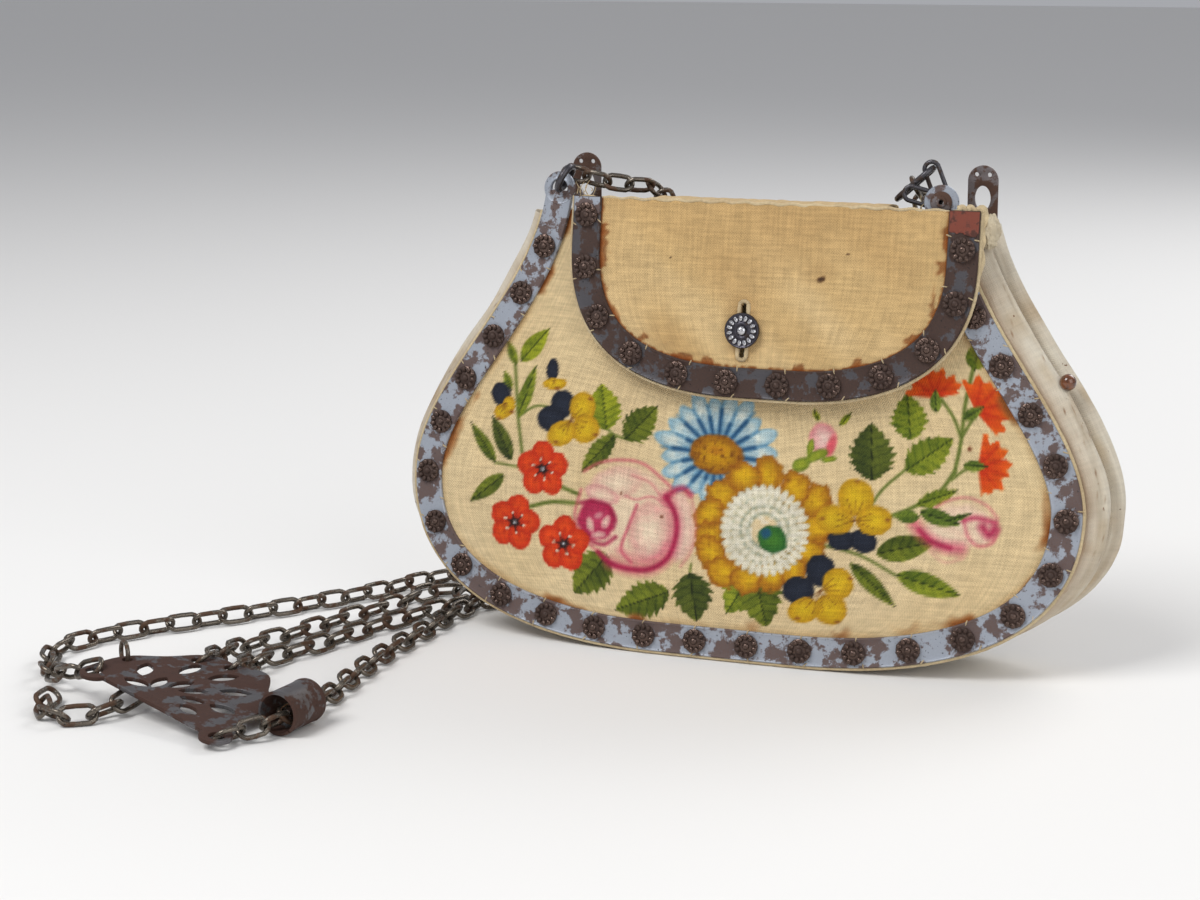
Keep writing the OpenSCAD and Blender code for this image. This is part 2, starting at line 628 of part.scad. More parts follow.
// a point of the plate in the frame of the whole part
function plate_pt(x, y) = plate_mid + [
  x * cos(plate_tilt) * cos(plate_turn) - y * sin(plate_turn),
  x * cos(plate_tilt) * sin(plate_turn) + y * cos(plate_turn),
  -x * sin(plate_tilt)];
function plate_eye(s) = plate_pt(s * (plate_half + 0.3), 0.8);
function top_eye(i) = plate_pt(top_eyes[i], eye_rise(top_eyes[i]));
function lobe(a) = let (r = 1 + 0.035 * cos(9 * a)) [-3 + r * (plate_half + 2) * cos(a), r * plate_rise * sin(a)];
module leaf(x, y, turn, length, width) {
  r = (length * length + width * width) / (4 * width);
  translate([x, y]) rotate(turn) intersection() {
    translate([0, r - width / 2]) circle(r = r, $fn = 72);
    translate([0, width / 2 - r]) circle(r = r, $fn = 72);
  }
}
module hook_plate() {
  color([0.30, 0.22, 0.20]) on_plate() linear_extrude(height = plate_t, center = true) difference() {
    union() {
      polygon([for (i = [0:60]) lobe(3 * i)]);
      for (s = [-1, 1]) translate([s * (plate_half - 0.5), 1]) circle(r = 4.6, $fn = 48);
    }
    for (s = [-1, 1]) translate([s * (plate_half + 0.3), 0.8]) circle(d = 4.8, $fn = 36);
    for (i = [0:4]) let (a = 26 + 32 * i) leaf(-3 + 0.66 * (plate_half + 2) * cos(a),
      0.66 * plate_rise * sin(a) + 2, a - 20, 9.5, 4.6);
    for (i = [0:3]) let (a = 40 + 33 * i) leaf(-3 + 0.34 * (plate_half + 2) * cos(a),
      0.34 * plate_rise * sin(a) + 2, a - 24, 8.5, 4);
    leaf(-14, 5.5, 12, 9, 4.2);
    leaf(9, 5.5, -12, 8.5, 4);
    for (x = top_eyes) translate([x, eye_rise(x)]) circle(d = 3.8, $fn = 32);
    translate([-28.6, 13]) circle(d = 3, $fn = 32);
  }
}
function eye_rise(x) = plate_rise * sqrt(1 - pow((x + 3) / (plate_half + 2), 2)) - 4.4;
module plate_ring() {
  color([0.30, 0.24, 0.20]) on_plate() translate([-31, 13.84, 1.64]) rotate([0, 0, 160]) rotate([90, 0, 0])
    rotate_extrude() translate([3.3, 0]) circle(d = 1.3, $fn = 24);
}
collar_turn = -98;
module rolled_collar() {
  color([0.26, 0.19, 0.15]) translate([-90, -119, collar_d / 2]) rotate([0, 0, collar_turn]) rotate([0, 90, 0])
    difference() {
      cylinder(d = collar_d, h = collar_l, center = true, $fn = 64);
      cylinder(d = collar_d - 2 * collar_t, h = collar_l + 2, center = true, $fn = 64);
      rotate([0, 0, 40]) translate([collar_d / 2, 0, 0]) cube([3, 0.5, collar_l + 2], center = true);
    }
}

front_panel();
front_band();
front_rosettes();
front_lining();
back_panel();
back_band();
back_lining();
left_ear();
right_ear();
ear_rivets();
gusset();
lining_fold();
side_bead();
flap_cloth();
flap_lining();
flap_band();
flap_rosettes();
buttonhole_lips();
button_head();
button_studs();
button_shank();
left_ring();
right_post();
corner_loops();
corner_ring();
chain_left();
chain_right();
chain_loop();
chain_tail();
hook_plate();
plate_ring();
rolled_collar();
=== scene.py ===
import math
import bpy
import numpy as np
from mathutils import Matrix, Vector


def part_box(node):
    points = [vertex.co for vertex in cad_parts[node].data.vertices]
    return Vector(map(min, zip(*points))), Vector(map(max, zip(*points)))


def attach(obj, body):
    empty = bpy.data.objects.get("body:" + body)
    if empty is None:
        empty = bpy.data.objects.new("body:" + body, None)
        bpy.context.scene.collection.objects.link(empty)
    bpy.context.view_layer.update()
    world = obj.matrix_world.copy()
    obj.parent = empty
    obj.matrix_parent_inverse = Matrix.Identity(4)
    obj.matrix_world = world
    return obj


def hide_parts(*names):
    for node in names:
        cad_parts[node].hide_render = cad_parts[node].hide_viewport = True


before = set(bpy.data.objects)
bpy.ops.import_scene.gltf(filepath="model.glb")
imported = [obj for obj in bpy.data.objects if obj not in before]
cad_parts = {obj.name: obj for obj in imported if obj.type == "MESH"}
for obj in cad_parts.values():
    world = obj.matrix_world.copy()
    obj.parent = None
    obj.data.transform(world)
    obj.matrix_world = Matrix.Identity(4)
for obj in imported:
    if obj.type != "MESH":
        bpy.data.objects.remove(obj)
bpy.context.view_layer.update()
mm = 0.001
print("frame loaded:", len(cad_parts), "nodes")

# the bag's own measures in mm, the same as the part's
bag = {
    "halfWidth": 103.5, "height": 137, "flatHalf": 20, "depth": 38, "frontLean": 8, "backLean": 1.5,
    "backShift": 6.5, "bow": 6, "cloth": 1.2, "lining": 0.7, "mouthDip": 17, "foldOut": 3.6, "gusset": 1.1,
    "bandWidth": 8.8, "bandThick": 0.9, "bareEdge": 0.7, "frontRosettes": 26, "flapRosettes": 12,
    "flapHalf": 61.5, "flapShift": 9.5, "flapLow": 77.5, "flapTop": 135, "flapGap": 3.2, "softGap": 0.4,
    "hem": 1.1, "bridgeHalf": 34.8, "eyeletHeight": 137.2, "mouthDrop": 6, "backDrop": 7,
}
bandMid = bag["bareEdge"] + bag["bandWidth"] / 2
hornX = 0.61 * bag["halfWidth"]
hornMid = hornX - bandMid
bowRadius = (bag["halfWidth"] ** 2 + bag["bow"] ** 2) / (2 * bag["bow"])
frontLean, backLean = math.radians(bag["frontLean"]), math.radians(bag["backLean"])
frontRise, backRise = bag["cloth"] * math.sin(frontLean), bag["cloth"] * math.sin(backLean)
flapInner = bag["flapGap"] + bag["lining"]
flapOuter = flapInner + bag["cloth"]
backTop = bag["height"] - bag["backDrop"]
mouthTop = bag["height"] - bag["mouthDrop"]

# two curves for each half of an outline: bottom to widest, widest to top
wide, tall = bag["halfWidth"], bag["height"]
panelCurves = [
    [(bag["flatHalf"], 0), (0.70 * wide, 0), (wide, 0.115 * tall), (wide, 0.36 * tall)],
    [(wide, 0.36 * tall), (wide, 0.56 * tall), (0.635 * wide, 0.76 * tall), (hornX, tall)],
]
fw, fl, ft = bag["flapHalf"], bag["flapLow"], bag["flapTop"]
flapCurves = [
    [(8, fl), (0.71 * fw, fl), (fw, fl + 15), (fw, fl + 42)],
    [(fw, fl + 42), (fw, fl + 46), (fw, ft - 4), (fw, ft)],
]


def curvePoints(curve, steps):
    p = np.array(curve, float)
    t = np.linspace(0, 1, steps + 1)[:, None]
    at = (1 - t) ** 3 * p[0] + 3 * (1 - t) ** 2 * t * p[1] + 3 * (1 - t) * t * t * p[2] + t ** 3 * p[3]
    d = (1 - t) ** 2 * (p[1] - p[0]) + 2 * (1 - t) * t * (p[2] - p[1]) + t * t * (p[3] - p[2])
    return at, d / np.linalg.norm(d, axis=1)[:, None]


def edgeLine(curves, inset, steps=48, shift=0.0):  # a whole outline, left top to right top
    low, lowDir = curvePoints(curves[0], steps)
    high, highDir = curvePoints(curves[1], steps)
    at = np.vstack([low, high[1:]])
    way = np.vstack([lowDir, highDir[1:]])
    half = at + inset * np.column_stack([-way[:, 1], way[:, 0]])
    half = np.vstack([[0, curves[0][0][1] + inset], half])
    left = half[::-1] * [-1, 1]
    return np.vstack([left, half[1:]]) + [shift, 0]


def runLength(points):
    return np.concatenate([[0], np.cumsum(np.linalg.norm(np.diff(points, axis=0), axis=1))])


def pointsAlong(points, spots):
    run = runLength(points)
    return np.column_stack([np.interp(spots, run, points[:, k]) for k in range(points.shape[1])])


def bowIn(u, w):
    return np.sqrt((bowRadius + w) ** 2 - u * u) - bowRadius


def frontPoint(u, v, w):  # across, up the cloth, outward; gives metres
    b = bowIn(u, w)
    y = -bag["depth"] / 2 + v * math.sin(frontLean) - b * math.cos(frontLean)
    z = frontRise + v * math.cos(frontLean) + b * math.sin(frontLean)
    return np.column_stack(np.broadcast_arrays(u, y, z)) * mm


def backPoint(u, v, w):
    b = bowIn(u, w)
    y = bag["depth"] / 2 - v * math.sin(backLean) + b * math.cos(backLean)
    z = backRise + v * math.cos(backLean) + b * math.sin(backLean)
    return np.column_stack(np.broadcast_arrays(u + bag["backShift"], y, z)) * mm


def frontSeat(u, v, w):  # a frame that stands on the front's bowed face
    a = math.asin(u / (bowRadius + w))
    s, c = math.sin(frontLean), math.cos(frontLean)
    spread = Matrix(((1, 0, 0), (0, s, -c), (0, c, s)))
    tilt = Matrix.Rotation(a, 3, "Y")
    seat = (spread @ tilt).to_4x4()
    seat.translation = Vector(frontPoint(np.array([u]), np.array([v]), np.array([w]))[0])
    return seat


def mouthLine(u):
    inside = np.clip(u, -hornMid, hornMid)
    return mouthTop - bag["mouthDip"] * (1 + np.cos(np.pi * inside / hornMid)) / 2


def halfWidthAt(curves, v, inset=0.0):
    line = edgeLine(curves, inset)
    half = line[len(line) // 2:]
    return np.interp(v, half[1:, 1], half[1:, 0])


def frontSpread(s, t, inset, drop=0.0):  # a grid that fills the front's outline up to the mouth
    h = inset + t * (mouthTop - inset)
    u = (2 * s - 1) * halfWidthAt(panelCurves, h, inset)
    return u, inset + (h - inset) * (mouthLine(u) - drop - inset) / (mouthTop - inset)


def backSpread(s, t, inset, top):
    h = inset + t * (top - inset)
    return (2 * s - 1) * halfWidthAt(panelCurves, h, inset), h


def flapSpread(s, t, inset, top):
    h = fl + inset + t * (top - fl - inset)
    return (2 * s - 1) * halfWidthAt(flapCurves, h, inset) + bag["flapShift"], h


def valueNoise(x, y, size, seed):  # smooth noise from a hashed grid, 0 to 1
    gx, gy = np.floor(x / size), np.floor(y / size)
    fx, fy = x / size - gx, y / size - gy
    fx, fy = fx * fx * (3 - 2 * fx), fy * fy * (3 - 2 * fy)

    def corner(i, j):
        return np.modf(np.abs(np.sin((gx + i) * 127.1 + (gy + j) * 311.7 + seed * 74.7) * 43758.5453))[0]

    low = corner(0, 0) * (1 - fx) + corner(1, 0) * fx
    high = corner(0, 1) * (1 - fx) + corner(1, 1) * fx
    return low * (1 - fy) + high * fy


# camera at the photograph's angle, then the floor and the lamps
cameraSet = {"azimuth": 20, "elevation": 12, "distance": 750, "target": (-43.71, -2.93, 57.36),
             "lens": 74.25}
floorSet = {"size": 12.0, "colour": (0.80, 0.79, 0.77), "drop": 0.0002}
lampSet = {
    "key": {"place": (-0.55, -0.85, 1.25), "power": 15.5, "size": 0.75},
    "fill": {"place": (1.1, -0.75, 0.65), "power": 6.5, "size": 1.1},
    "rim": {"place": (0.5, 0.95, 0.95), "power": 8.0, "size": 0.8},
}


def makeCamera():
    a, e = math.radians(cameraSet["azimuth"]), math.radians(cameraSet["elevation"])
    back = Vector((math.sin(a) * math.cos(e), -math.cos(a) * math.cos(e), math.sin(e)))
    target = Vector(cameraSet["target"]) * mm
    bpy.ops.object.camera_add(location=target + back * cameraSet["distance"] * mm)
    camera = bpy.context.object
    camera.rotation_euler = (-back).to_track_quat("-Z", "Y").to_euler()
    camera.data.sensor_width = 36
    camera.data.lens = cameraSet["lens"]
    camera.data.clip_start = 0.01
    bpy.context.scene.camera = camera


def makeStage():
    bpy.ops.mesh.primitive_plane_add(size=floorSet["size"], location=(0, 0, -floorSet["drop"]))
    floor = bpy.context.object
    floor.name = "floor"
    ground = bpy.data.materials.new("paleFloor")
    ground.use_nodes = True
    shader = ground.node_tree.nodes["Principled BSDF"]
    shader.inputs["Base Color"].default_value = (*floorSet["colour"], 1)
    shader.inputs["Roughness"].default_value = 0.9
    floor.data.materials.append(ground)
    for name, lamp in lampSet.items():
        place = Vector(lamp["place"])
        bpy.ops.object.light_add(type="AREA", location=place)
        light = bpy.context.object
        light.name = name + "Lamp"
        light.data.energy = lamp["power"]
        light.data.size = lamp["size"]
        aim = Vector((-0.03, 0, 0.06)) - place
        light.rotation_euler = aim.to_track_quat("-Z", "Y").to_euler()
    world = bpy.data.worlds.new("studio")
    bpy.context.scene.world = world
    world.use_nodes = True
    world.node_tree.nodes["Background"].inputs["Color"].default_value = (0.92, 0.94, 1.0, 1)
    world.node_tree.nodes["Background"].inputs["Strength"].default_value = 0.42
    bpy.context.scene.view_settings.view_transform = "Standard"


makeCamera()
makeStage()
print("camera and lamps in place")


# pieces are grids or primitives shaped one by one
def newGrid(name, columns, rows, place, span, wrapped=False):
    bpy.ops.object.select_all(action="DESELECT")
    bpy.ops.mesh.primitive_grid_add(x_subdivisions=columns, y_subdivisions=rows, size=2, location=(0, 0, 0))
    piece = bpy.context.object
    piece.name = name
    piece.data.name = name
    count = len(piece.data.vertices)
    flat = np.zeros(count * 3)
    piece.data.vertices.foreach_get("co", flat)
    s, t = (flat[0::3] + 1) / 2, (flat[1::3] + 1) / 2
    piece.data.vertices.foreach_set("co", place(s, t).ravel())
    layer = piece.data.uv_layers[0].data
    uv = np.zeros(len(layer) * 2)
    layer.foreach_get("uv", uv)
    uv[0::2] *= span[0] * mm
    uv[1::2] *= span[1] * mm
    layer.foreach_set("uv", uv)
    piece.data.update()
    if wrapped:
        weld(piece, 1e-6)
    return piece


def editAll(piece):
    bpy.ops.object.mode_set(mode="OBJECT")
    bpy.ops.object.select_all(action="DESELECT")
    piece.select_set(True)
    bpy.context.view_layer.objects.active = piece
    bpy.ops.object.mode_set(mode="EDIT")
    bpy.ops.mesh.select_all(action="SELECT")


def weld(piece, reach):
    editAll(piece)
    bpy.ops.mesh.remove_doubles(threshold=reach)
    bpy.ops.mesh.normals_make_consistent(inside=False)
    bpy.ops.object.mode_set(mode="OBJECT")


def outward(piece):
    editAll(piece)
    bpy.ops.mesh.normals_make_consistent(inside=False)
    bpy.ops.object.mode_set(mode="OBJECT")


def capEnds(piece):  # closes the open ends of a wrapped strip
    editAll(piece)
    bpy.ops.mesh.select_all(action="DESELECT")
    bpy.ops.mesh.select_non_manifold()
    bpy.ops.mesh.fill_holes(sides=0)
    bpy.ops.object.mode_set(mode="OBJECT")
    outward(piece)


def pickFaces(piece, wanted):  # leaves the wanted faces selected in edit mode
    editAll(piece)
    bpy.ops.mesh.select_all(action="DESELECT")
    bpy.ops.object.mode_set(mode="OBJECT")
    for face in piece.data.polygons:
        face.select = wanted(face)
    bpy.ops.object.mode_set(mode="EDIT")


def applyModifier(piece, kind, **values):
    modifier = piece.modifiers.new(kind.lower(), kind)
    for key, value in values.items():
        setattr(modifier, key, value)
    bpy.context.view_layer.objects.active = piece
    bpy.ops.object.modifier_apply(modifier=modifier.name)


def smooth(piece, angle=40):
    bpy.ops.object.select_all(action="DESELECT")
    piece.select_set(True)
    bpy.context.view_layer.objects.active = piece
    bpy.ops.object.shade_smooth_by_angle(angle=math.radians(angle))


def settle(piece, body, nodes=(), material=None, angle=40):
    if material is not None:
        piece.data.materials.clear()
        piece.data.materials.append(material)
    smooth(piece, angle)
    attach(piece, body)
    if nodes:
        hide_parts(*nodes)
    return piece


def joinAll(name, parts):
    bpy.ops.object.select_all(action="DESELECT")
    for part in parts:
        part.select_set(True)
    bpy.context.view_layer.objects.active = parts[0]
    if len(parts) > 1:
        bpy.ops.object.join()
    bpy.context.object.name = name
    bpy.context.object.data.name = name
    return bpy.context.object


def stamped(name, pattern, places):  # copies of one modelled piece, each with its own mesh
    made = []
    for place in places:
        twin = pattern.copy()
        twin.data = pattern.data.copy()
        twin.data.transform(place)
        bpy.context.scene.collection.objects.link(twin)
        made.append(twin)
    bpy.data.objects.remove(pattern)
    return joinAll(name, made)


def tubeAlong(name, line, radius, sides=8):
    line = np.asarray(line, float)
    count = len(line)
    ahead = np.gradient(line, axis=0)
    ahead /= np.linalg.norm(ahead, axis=1)[:, None]
    side = np.zeros_like(line)
    start = Vector(ahead[0]).orthogonal().normalized()
    side[0] = start
    for i in range(1, count):
        s = side[i - 1] - ahead[i] * np.dot(side[i - 1], ahead[i])
        side[i] = s / np.linalg.norm(s)
    up = np.cross(ahead, side)
    thick = np.broadcast_to(np.asarray(radius, float), (count,)).copy()
    length = runLength(line)[-1] / mm

    def place(s, t):
        i = np.rint(s * (count - 1)).astype(int)
        a = 2 * np.pi * t
        r = thick[i][:, None]
        return line[i] + side[i] * np.cos(a)[:, None] * r + up[i] * np.sin(a)[:, None] * r

    tube = newGrid(name, count - 1, sides, place, (length, 2 * np.pi * thick.mean() / mm), wrapped=True)
    capEnds(tube)
    return tube


# shader effects that several finishes share
def newGroup(name, inputs, outputs):
    group = bpy.data.node_groups.new(name, "ShaderNodeTree")
    for label, value in inputs.items():
        socket = group.interface.new_socket(label, in_out="INPUT", socket_type="NodeSocketFloat")
        socket.default_value = value
    for label in outputs:
        group.interface.new_socket(label, in_out="OUTPUT", socket_type="NodeSocketFloat")
    return group, group.nodes.new("NodeGroupInput"), group.nodes.new("NodeGroupOutput")


def mathNode(tree, operation, a, b=0.5, c=None):
    node = tree.nodes.new("ShaderNodeMath")
    node.operation = operation
    for i, value in enumerate((a, b, c)):
        if value is None:
            continue
        if isinstance(value, (int, float)):
            node.inputs[i].default_value = value
        else:
            tree.links.new(value, node.inputs[i])
    return node.outputs[0]


def noiseNode(tree, vector, scale, detail=4.0, rough=0.55):
    node = tree.nodes.new("ShaderNodeTexNoise")
    node.inputs["Detail"].default_value = detail
    node.inputs["Roughness"].default_value = rough
    tree.links.new(vector, node.inputs["Vector"])
    if isinstance(scale, (int, float)):
        node.inputs["Scale"].default_value = scale
    else:
        tree.links.new(scale, node.inputs["Scale"])
    return node.outputs["Fac"]


def stepNode(tree, value, low, high):
    node = tree.nodes.new("ShaderNodeMapRange")
    node.interpolation_type = "SMOOTHSTEP"
    tree.links.new(value, node.inputs["Value"])
    for label, edge in (("From Min", low), ("From Max", high)):
        if isinstance(edge, (int, float)):
            node.inputs[label].default_value = edge
        else:
            tree.links.new(edge, node.inputs[label])
    return node.outputs["Result"]


def mixColour(tree, share, a, b, blend="MIX"):
    node = tree.nodes.new("ShaderNodeMix")
    node.data_type = "RGBA"
    node.blend_type = blend
    for label, value in (("Factor_Float", share), ("A_Color", a), ("B_Color", b)):
        socket = next(i for i in node.inputs if i.identifier == label)
        if isinstance(value, (int, float)):
            socket.default_value = value
        elif isinstance(value, tuple):
            socket.default_value = (*value, 1)
        else:
            tree.links.new(value, socket)
    return next(o for o in node.outputs if o.identifier == "Result_Color")


def screenToLinear(colour):  # colours as seen on screen, 0 to 255
    c = np.clip(colour / 255, 0, 1)
    return np.where(c <= 0.04045, c / 12.92, ((c + 0.055) / 1.055) ** 2.4)


def linear(*colour):
    return tuple(float(c) for c in screenToLinear(np.array(colour, float)))


def wovenGroup():  # plain weave: two sets of threads that swell in turn, with slubs
    group, start, end = newGroup("wovenThreads", {"Pitch": 0.0007}, ("Shade", "Height"))
    uv = group.nodes.new("ShaderNodeUVMap")
    split = group.nodes.new("ShaderNodeSeparateXYZ")
    group.links.new(uv.outputs["UV"], split.inputs[0])
    wobble = noiseNode(group, uv.outputs["UV"], 900.0, 2.0)
    drift = mathNode(group, "MULTIPLY", mathNode(group, "SUBTRACT", wobble, 0.5), 2.2)
    threads = []
    for axis in (0, 1):
        turns = mathNode(group, "DIVIDE", split.outputs[axis], start.outputs["Pitch"])
        angle = mathNode(group, "ADD", mathNode(group, "MULTIPLY", turns, 2 * math.pi), drift)
        threads.append((turns, mathNode(group, "SINE", angle)))
    # the crowns term is painted shade: thread crowns lighter, the dips between threads darker
    both = mathNode(group, "MULTIPLY", threads[0][1], threads[1][1])
    crowns = mathNode(group, "MULTIPLY_ADD", both, 0.5, 0.5)
    streaks = []
    for scale in ((70.0, 1150.0, 1.0), (1150.0, 70.0, 1.0)):  # single threads that run thick and thin
        stretch = group.nodes.new("ShaderNodeMapping")
        stretch.inputs["Scale"].default_value = scale
        group.links.new(uv.outputs["UV"], stretch.inputs["Vector"])
        streaks.append(stepNode(group, noiseNode(group, stretch.outputs["Vector"], 1.0, 2.0), 0.3, 0.7))
    slub = mathNode(group, "MULTIPLY", mathNode(group, "ADD", streaks[0], streaks[1]), 0.5)
    height = mathNode(group, "MULTIPLY_ADD", slub, 0.9, crowns)
    # Shade: the crowns' painted shade mixed with the slubs' thick and thin tone
    shade = mathNode(group, "MULTIPLY_ADD", crowns, 0.35, mathNode(group, "MULTIPLY", slub, 0.65))
    group.links.new(shade, end.inputs["Shade"])
    group.links.new(height, end.inputs["Height"])
    return group


def corrosionGroup():  # rust islands, small pits and a fine grain
    group, start, end = newGroup("corrosion", {"Scale": 260.0, "Amount": 0.5, "Edge": 0.05},
                                 ("Rust", "Pits", "Grain", "Height"))
    spot = group.nodes.new("ShaderNodeTexCoord").outputs["Object"]
    island = noiseNode(group, spot, start.outputs["Scale"], 6.0, 0.62)
    level = mathNode(group, "MULTIPLY_ADD", start.outputs["Amount"], -0.42, 0.71)
    top = mathNode(group, "ADD", level, start.outputs["Edge"])
    rust = stepNode(group, island, level, top)
    pit = stepNode(group, noiseNode(group, spot, 1500.0, 2.0), 0.66, 0.74)
    grain = noiseNode(group, spot, 2600.0, 3.0, 0.7)
    bump = mathNode(group, "MULTIPLY_ADD", rust, 0.5, mathNode(group, "MULTIPLY", grain, 0.5))
    height = mathNode(group, "SUBTRACT", bump, mathNode(group, "MULTIPLY", pit, 0.6))
    for label, value in (("Rust", rust), ("Pits", pit), ("Grain", grain), ("Height", height)):
        group.links.new(value, end.inputs[label])
    return group


def soilGroup():  # broad clouds of age, small brown specks
    group, start, end = newGroup("soiling", {"Scale": 22.0, "Specks": 0.5}, ("Cloud", "Speck"))
    spot = group.nodes.new("ShaderNodeTexCoord").outputs["Object"]
    cloud = stepNode(group, noiseNode(group, spot, start.outputs["Scale"], 5.0, 0.6), 0.36, 0.68)
    speck = noiseNode(group, spot, 330.0, 3.0, 0.6)
    low = mathNode(group, "MULTIPLY_ADD", start.outputs["Specks"], -0.12, 0.78)
    dots = stepNode(group, speck, low, mathNode(group, "ADD", low, 0.05))
    group.links.new(cloud, end.inputs["Cloud"])
    group.links.new(dots, end.inputs["Speck"])
    return group


woven, corrosion, soiling = wovenGroup(), corrosionGroup(), soilGroup()


def newFinish(name):
    finish = bpy.data.materials.new(name)
    finish.use_nodes = True
    tree = finish.node_tree
    return finish, tree, tree.nodes["Principled BSDF"]


def placeGroup(tree, group, **values):
    node = tree.nodes.new("ShaderNodeGroup")
    node.node_tree = group
    for label, value in values.items():
        node.inputs[label].default_value = value
    return node


def bumpOn(tree, shader, height, strength, distance):
    bump = tree.nodes.new("ShaderNodeBump")
    bump.inputs["Strength"].default_value = strength
    bump.inputs["Distance"].default_value = distance
    tree.links.new(height, bump.inputs["Height"])
    tree.links.new(bump.outputs["Normal"], shader.inputs["Normal"])


clothLooks = {
    "paintedCloth": {"paint": True, "pitch": 0.00085, "dark": 0.60, "soil": 0.10, "specks": 0.0,
                     "scale": 24},
    "tanCloth": {"paint": True, "pitch": 0.0008, "dark": 0.60, "soil": 0.10, "specks": 0.0, "scale": 30},
    "backCloth": {"tint": (222, 198, 154), "pitch": 0.00085, "dark": 0.72, "soil": 0.3, "specks": 0.2,
                  "scale": 22},
    "liningCloth": {"tint": (228, 214, 184), "pitch": 0.0006, "dark": 0.82, "soil": 0.3, "specks": 0.3,
                    "scale": 40},
    "gussetCloth": {"paint": True, "pitch": 0.0007, "dark": 0.78, "soil": 0.35, "specks": 0.75,
                    "scale": 34},
    "edgeThread": {"tint": (226, 205, 164), "pitch": 0.0005, "dark": 0.66, "soil": 0.3, "specks": 0.3,
                   "scale": 60},
}


def clothFinish(name):
    look = clothLooks[name]
    finish, tree, shader = newFinish(name)
    weave = placeGroup(tree, woven, Pitch=look["pitch"])
    soil = placeGroup(tree, soiling, Scale=look["scale"], Specks=look["specks"])
    if look.get("paint"):
        colour = tree.nodes.new("ShaderNodeAttribute")
        colour.attribute_name = "paint"
        base = colour.outputs["Color"]
    else:
        base = linear(*look["tint"])
        # the weave's painted shade darkens the tint in the dips between threads
        base = mixColour(tree, weave.outputs["Shade"], tuple(c * 0.9 for c in base), base)
    cloudShare = mathNode(tree, "MULTIPLY", soil.outputs["Cloud"], look["soil"])
    aged = mixColour(tree, cloudShare, base, linear(176, 140, 92), "MULTIPLY")
    speckShare = mathNode(tree, "MULTIPLY", soil.outputs["Speck"], min(1.0, look["specks"] * 1.2))
    specked = mixColour(tree, speckShare, aged, linear(112, 74, 44))
    # the weave's painted shade multiplies the colour; dark is how deep the painted shade in the dips
    # between threads goes
    shadeLow = (look["dark"],) * 3
    threads = mixColour(tree, weave.outputs["Shade"], shadeLow, (1.0, 1.0, 1.0))
    woveColour = mixColour(tree, 1.0, specked, threads, "MULTIPLY")
    tree.links.new(woveColour, shader.inputs["Base Color"])
    shader.inputs["Roughness"].default_value = 0.92
    shader.inputs["Sheen Weight"].default_value = 0.12
    shader.inputs["Specular IOR Level"].default_value = 0.2
    bumpOn(tree, shader, weave.outputs["Height"], 0.55, 0.00025)
    return finish


steelLooks = {
    "paleSteel": {"metal": (166, 173, 184), "dark": (94, 90, 94), "rust": (98, 68, 52), "scale": 165,
                  "amount": 0.54, "metallic": 0.35, "rough": 0.42},
    "blueBlackSteel": {"metal": (86, 84, 88), "dark": (44, 39, 39), "rust": (82, 56, 44), "scale": 190,
                       "amount": 0.64, "metallic": 0.55, "rough": 0.45},
    "rosetteSteel": {"metal": (98, 80, 72), "dark": (50, 38, 34), "rust": (74, 52, 42), "scale": 160,
                     "amount": 0.55, "metallic": 0.75, "rough": 0.26},
    "chainSteel": {"metal": (116, 108, 98), "dark": (48, 40, 36), "rust": (100, 68, 42), "scale": 180,
                   "amount": 0.5, "metallic": 0.85, "rough": 0.27},
    "ringSteel": {"metal": (84, 82, 86), "dark": (36, 34, 36), "rust": (74, 54, 42), "scale": 200,
                  "amount": 0.45, "metallic": 0.8, "rough": 0.32},
    "plateSteel": {"metal": (104, 102, 104), "dark": (44, 36, 34), "rust": (86, 52, 38), "scale": 130,
                   "amount": 0.66, "metallic": 0.6, "rough": 0.42},
    "earSteel": {"metal": (120, 112, 112), "dark": (62, 48, 42), "rust": (92, 62, 46), "scale": 190,
                 "amount": 0.62, "metallic": 0.5, "rough": 0.48},
    "redSteel": {"metal": (128, 64, 48), "dark": (84, 44, 36), "rust": (72, 44, 34), "scale": 160,
                 "amount": 0.45, "metallic": 0.3, "rough": 0.5},
    "cutSteel": {"metal": (208, 208, 212), "dark": (120, 116, 116), "rust": (120, 96, 80), "scale": 700,
                 "amount": 0.3, "metallic": 0.95, "rough": 0.18},
    "buttonSteel": {"metal": (72, 70, 78), "dark": (34, 31, 34), "rust": (66, 48, 42), "scale": 500,
                    "amount": 0.4, "metallic": 0.8, "rough": 0.3},
}


def steelFinish(name):
    look = steelLooks[name]
    finish, tree, shader = newFinish(name)
    worn = placeGroup(tree, corrosion, Scale=look["scale"], Amount=look["amount"], Edge=0.06)
    body = mixColour(tree, worn.outputs["Grain"], linear(*look["dark"]), linear(*look["rust"]))
    skin = mixColour(tree, mathNode(tree, "MULTIPLY", worn.outputs["Grain"], 0.35), linear(*look["metal"]),
                     linear(*look["dark"]))
    colour = mixColour(tree, worn.outputs["Rust"], skin, body)
    pitted = mixColour(tree, worn.outputs["Pits"], colour, linear(*(c * 0.45 for c in look["dark"])))
    tree.links.new(pitted, shader.inputs["Base Color"])
    bare = mathNode(tree, "SUBTRACT", 1.0, worn.outputs["Rust"])
    tree.links.new(mathNode(tree, "MULTIPLY_ADD", bare, look["metallic"] * 0.6, look["metallic"] * 0.4),
                   shader.inputs["Metallic"])
    tree.links.new(mathNode(tree, "MULTIPLY_ADD", worn.outputs["Rust"], 0.34, look["rough"]),
                   shader.inputs["Roughness"])
    bumpOn(tree, shader, worn.outputs["Height"], 0.45, 0.00022)
    return finish


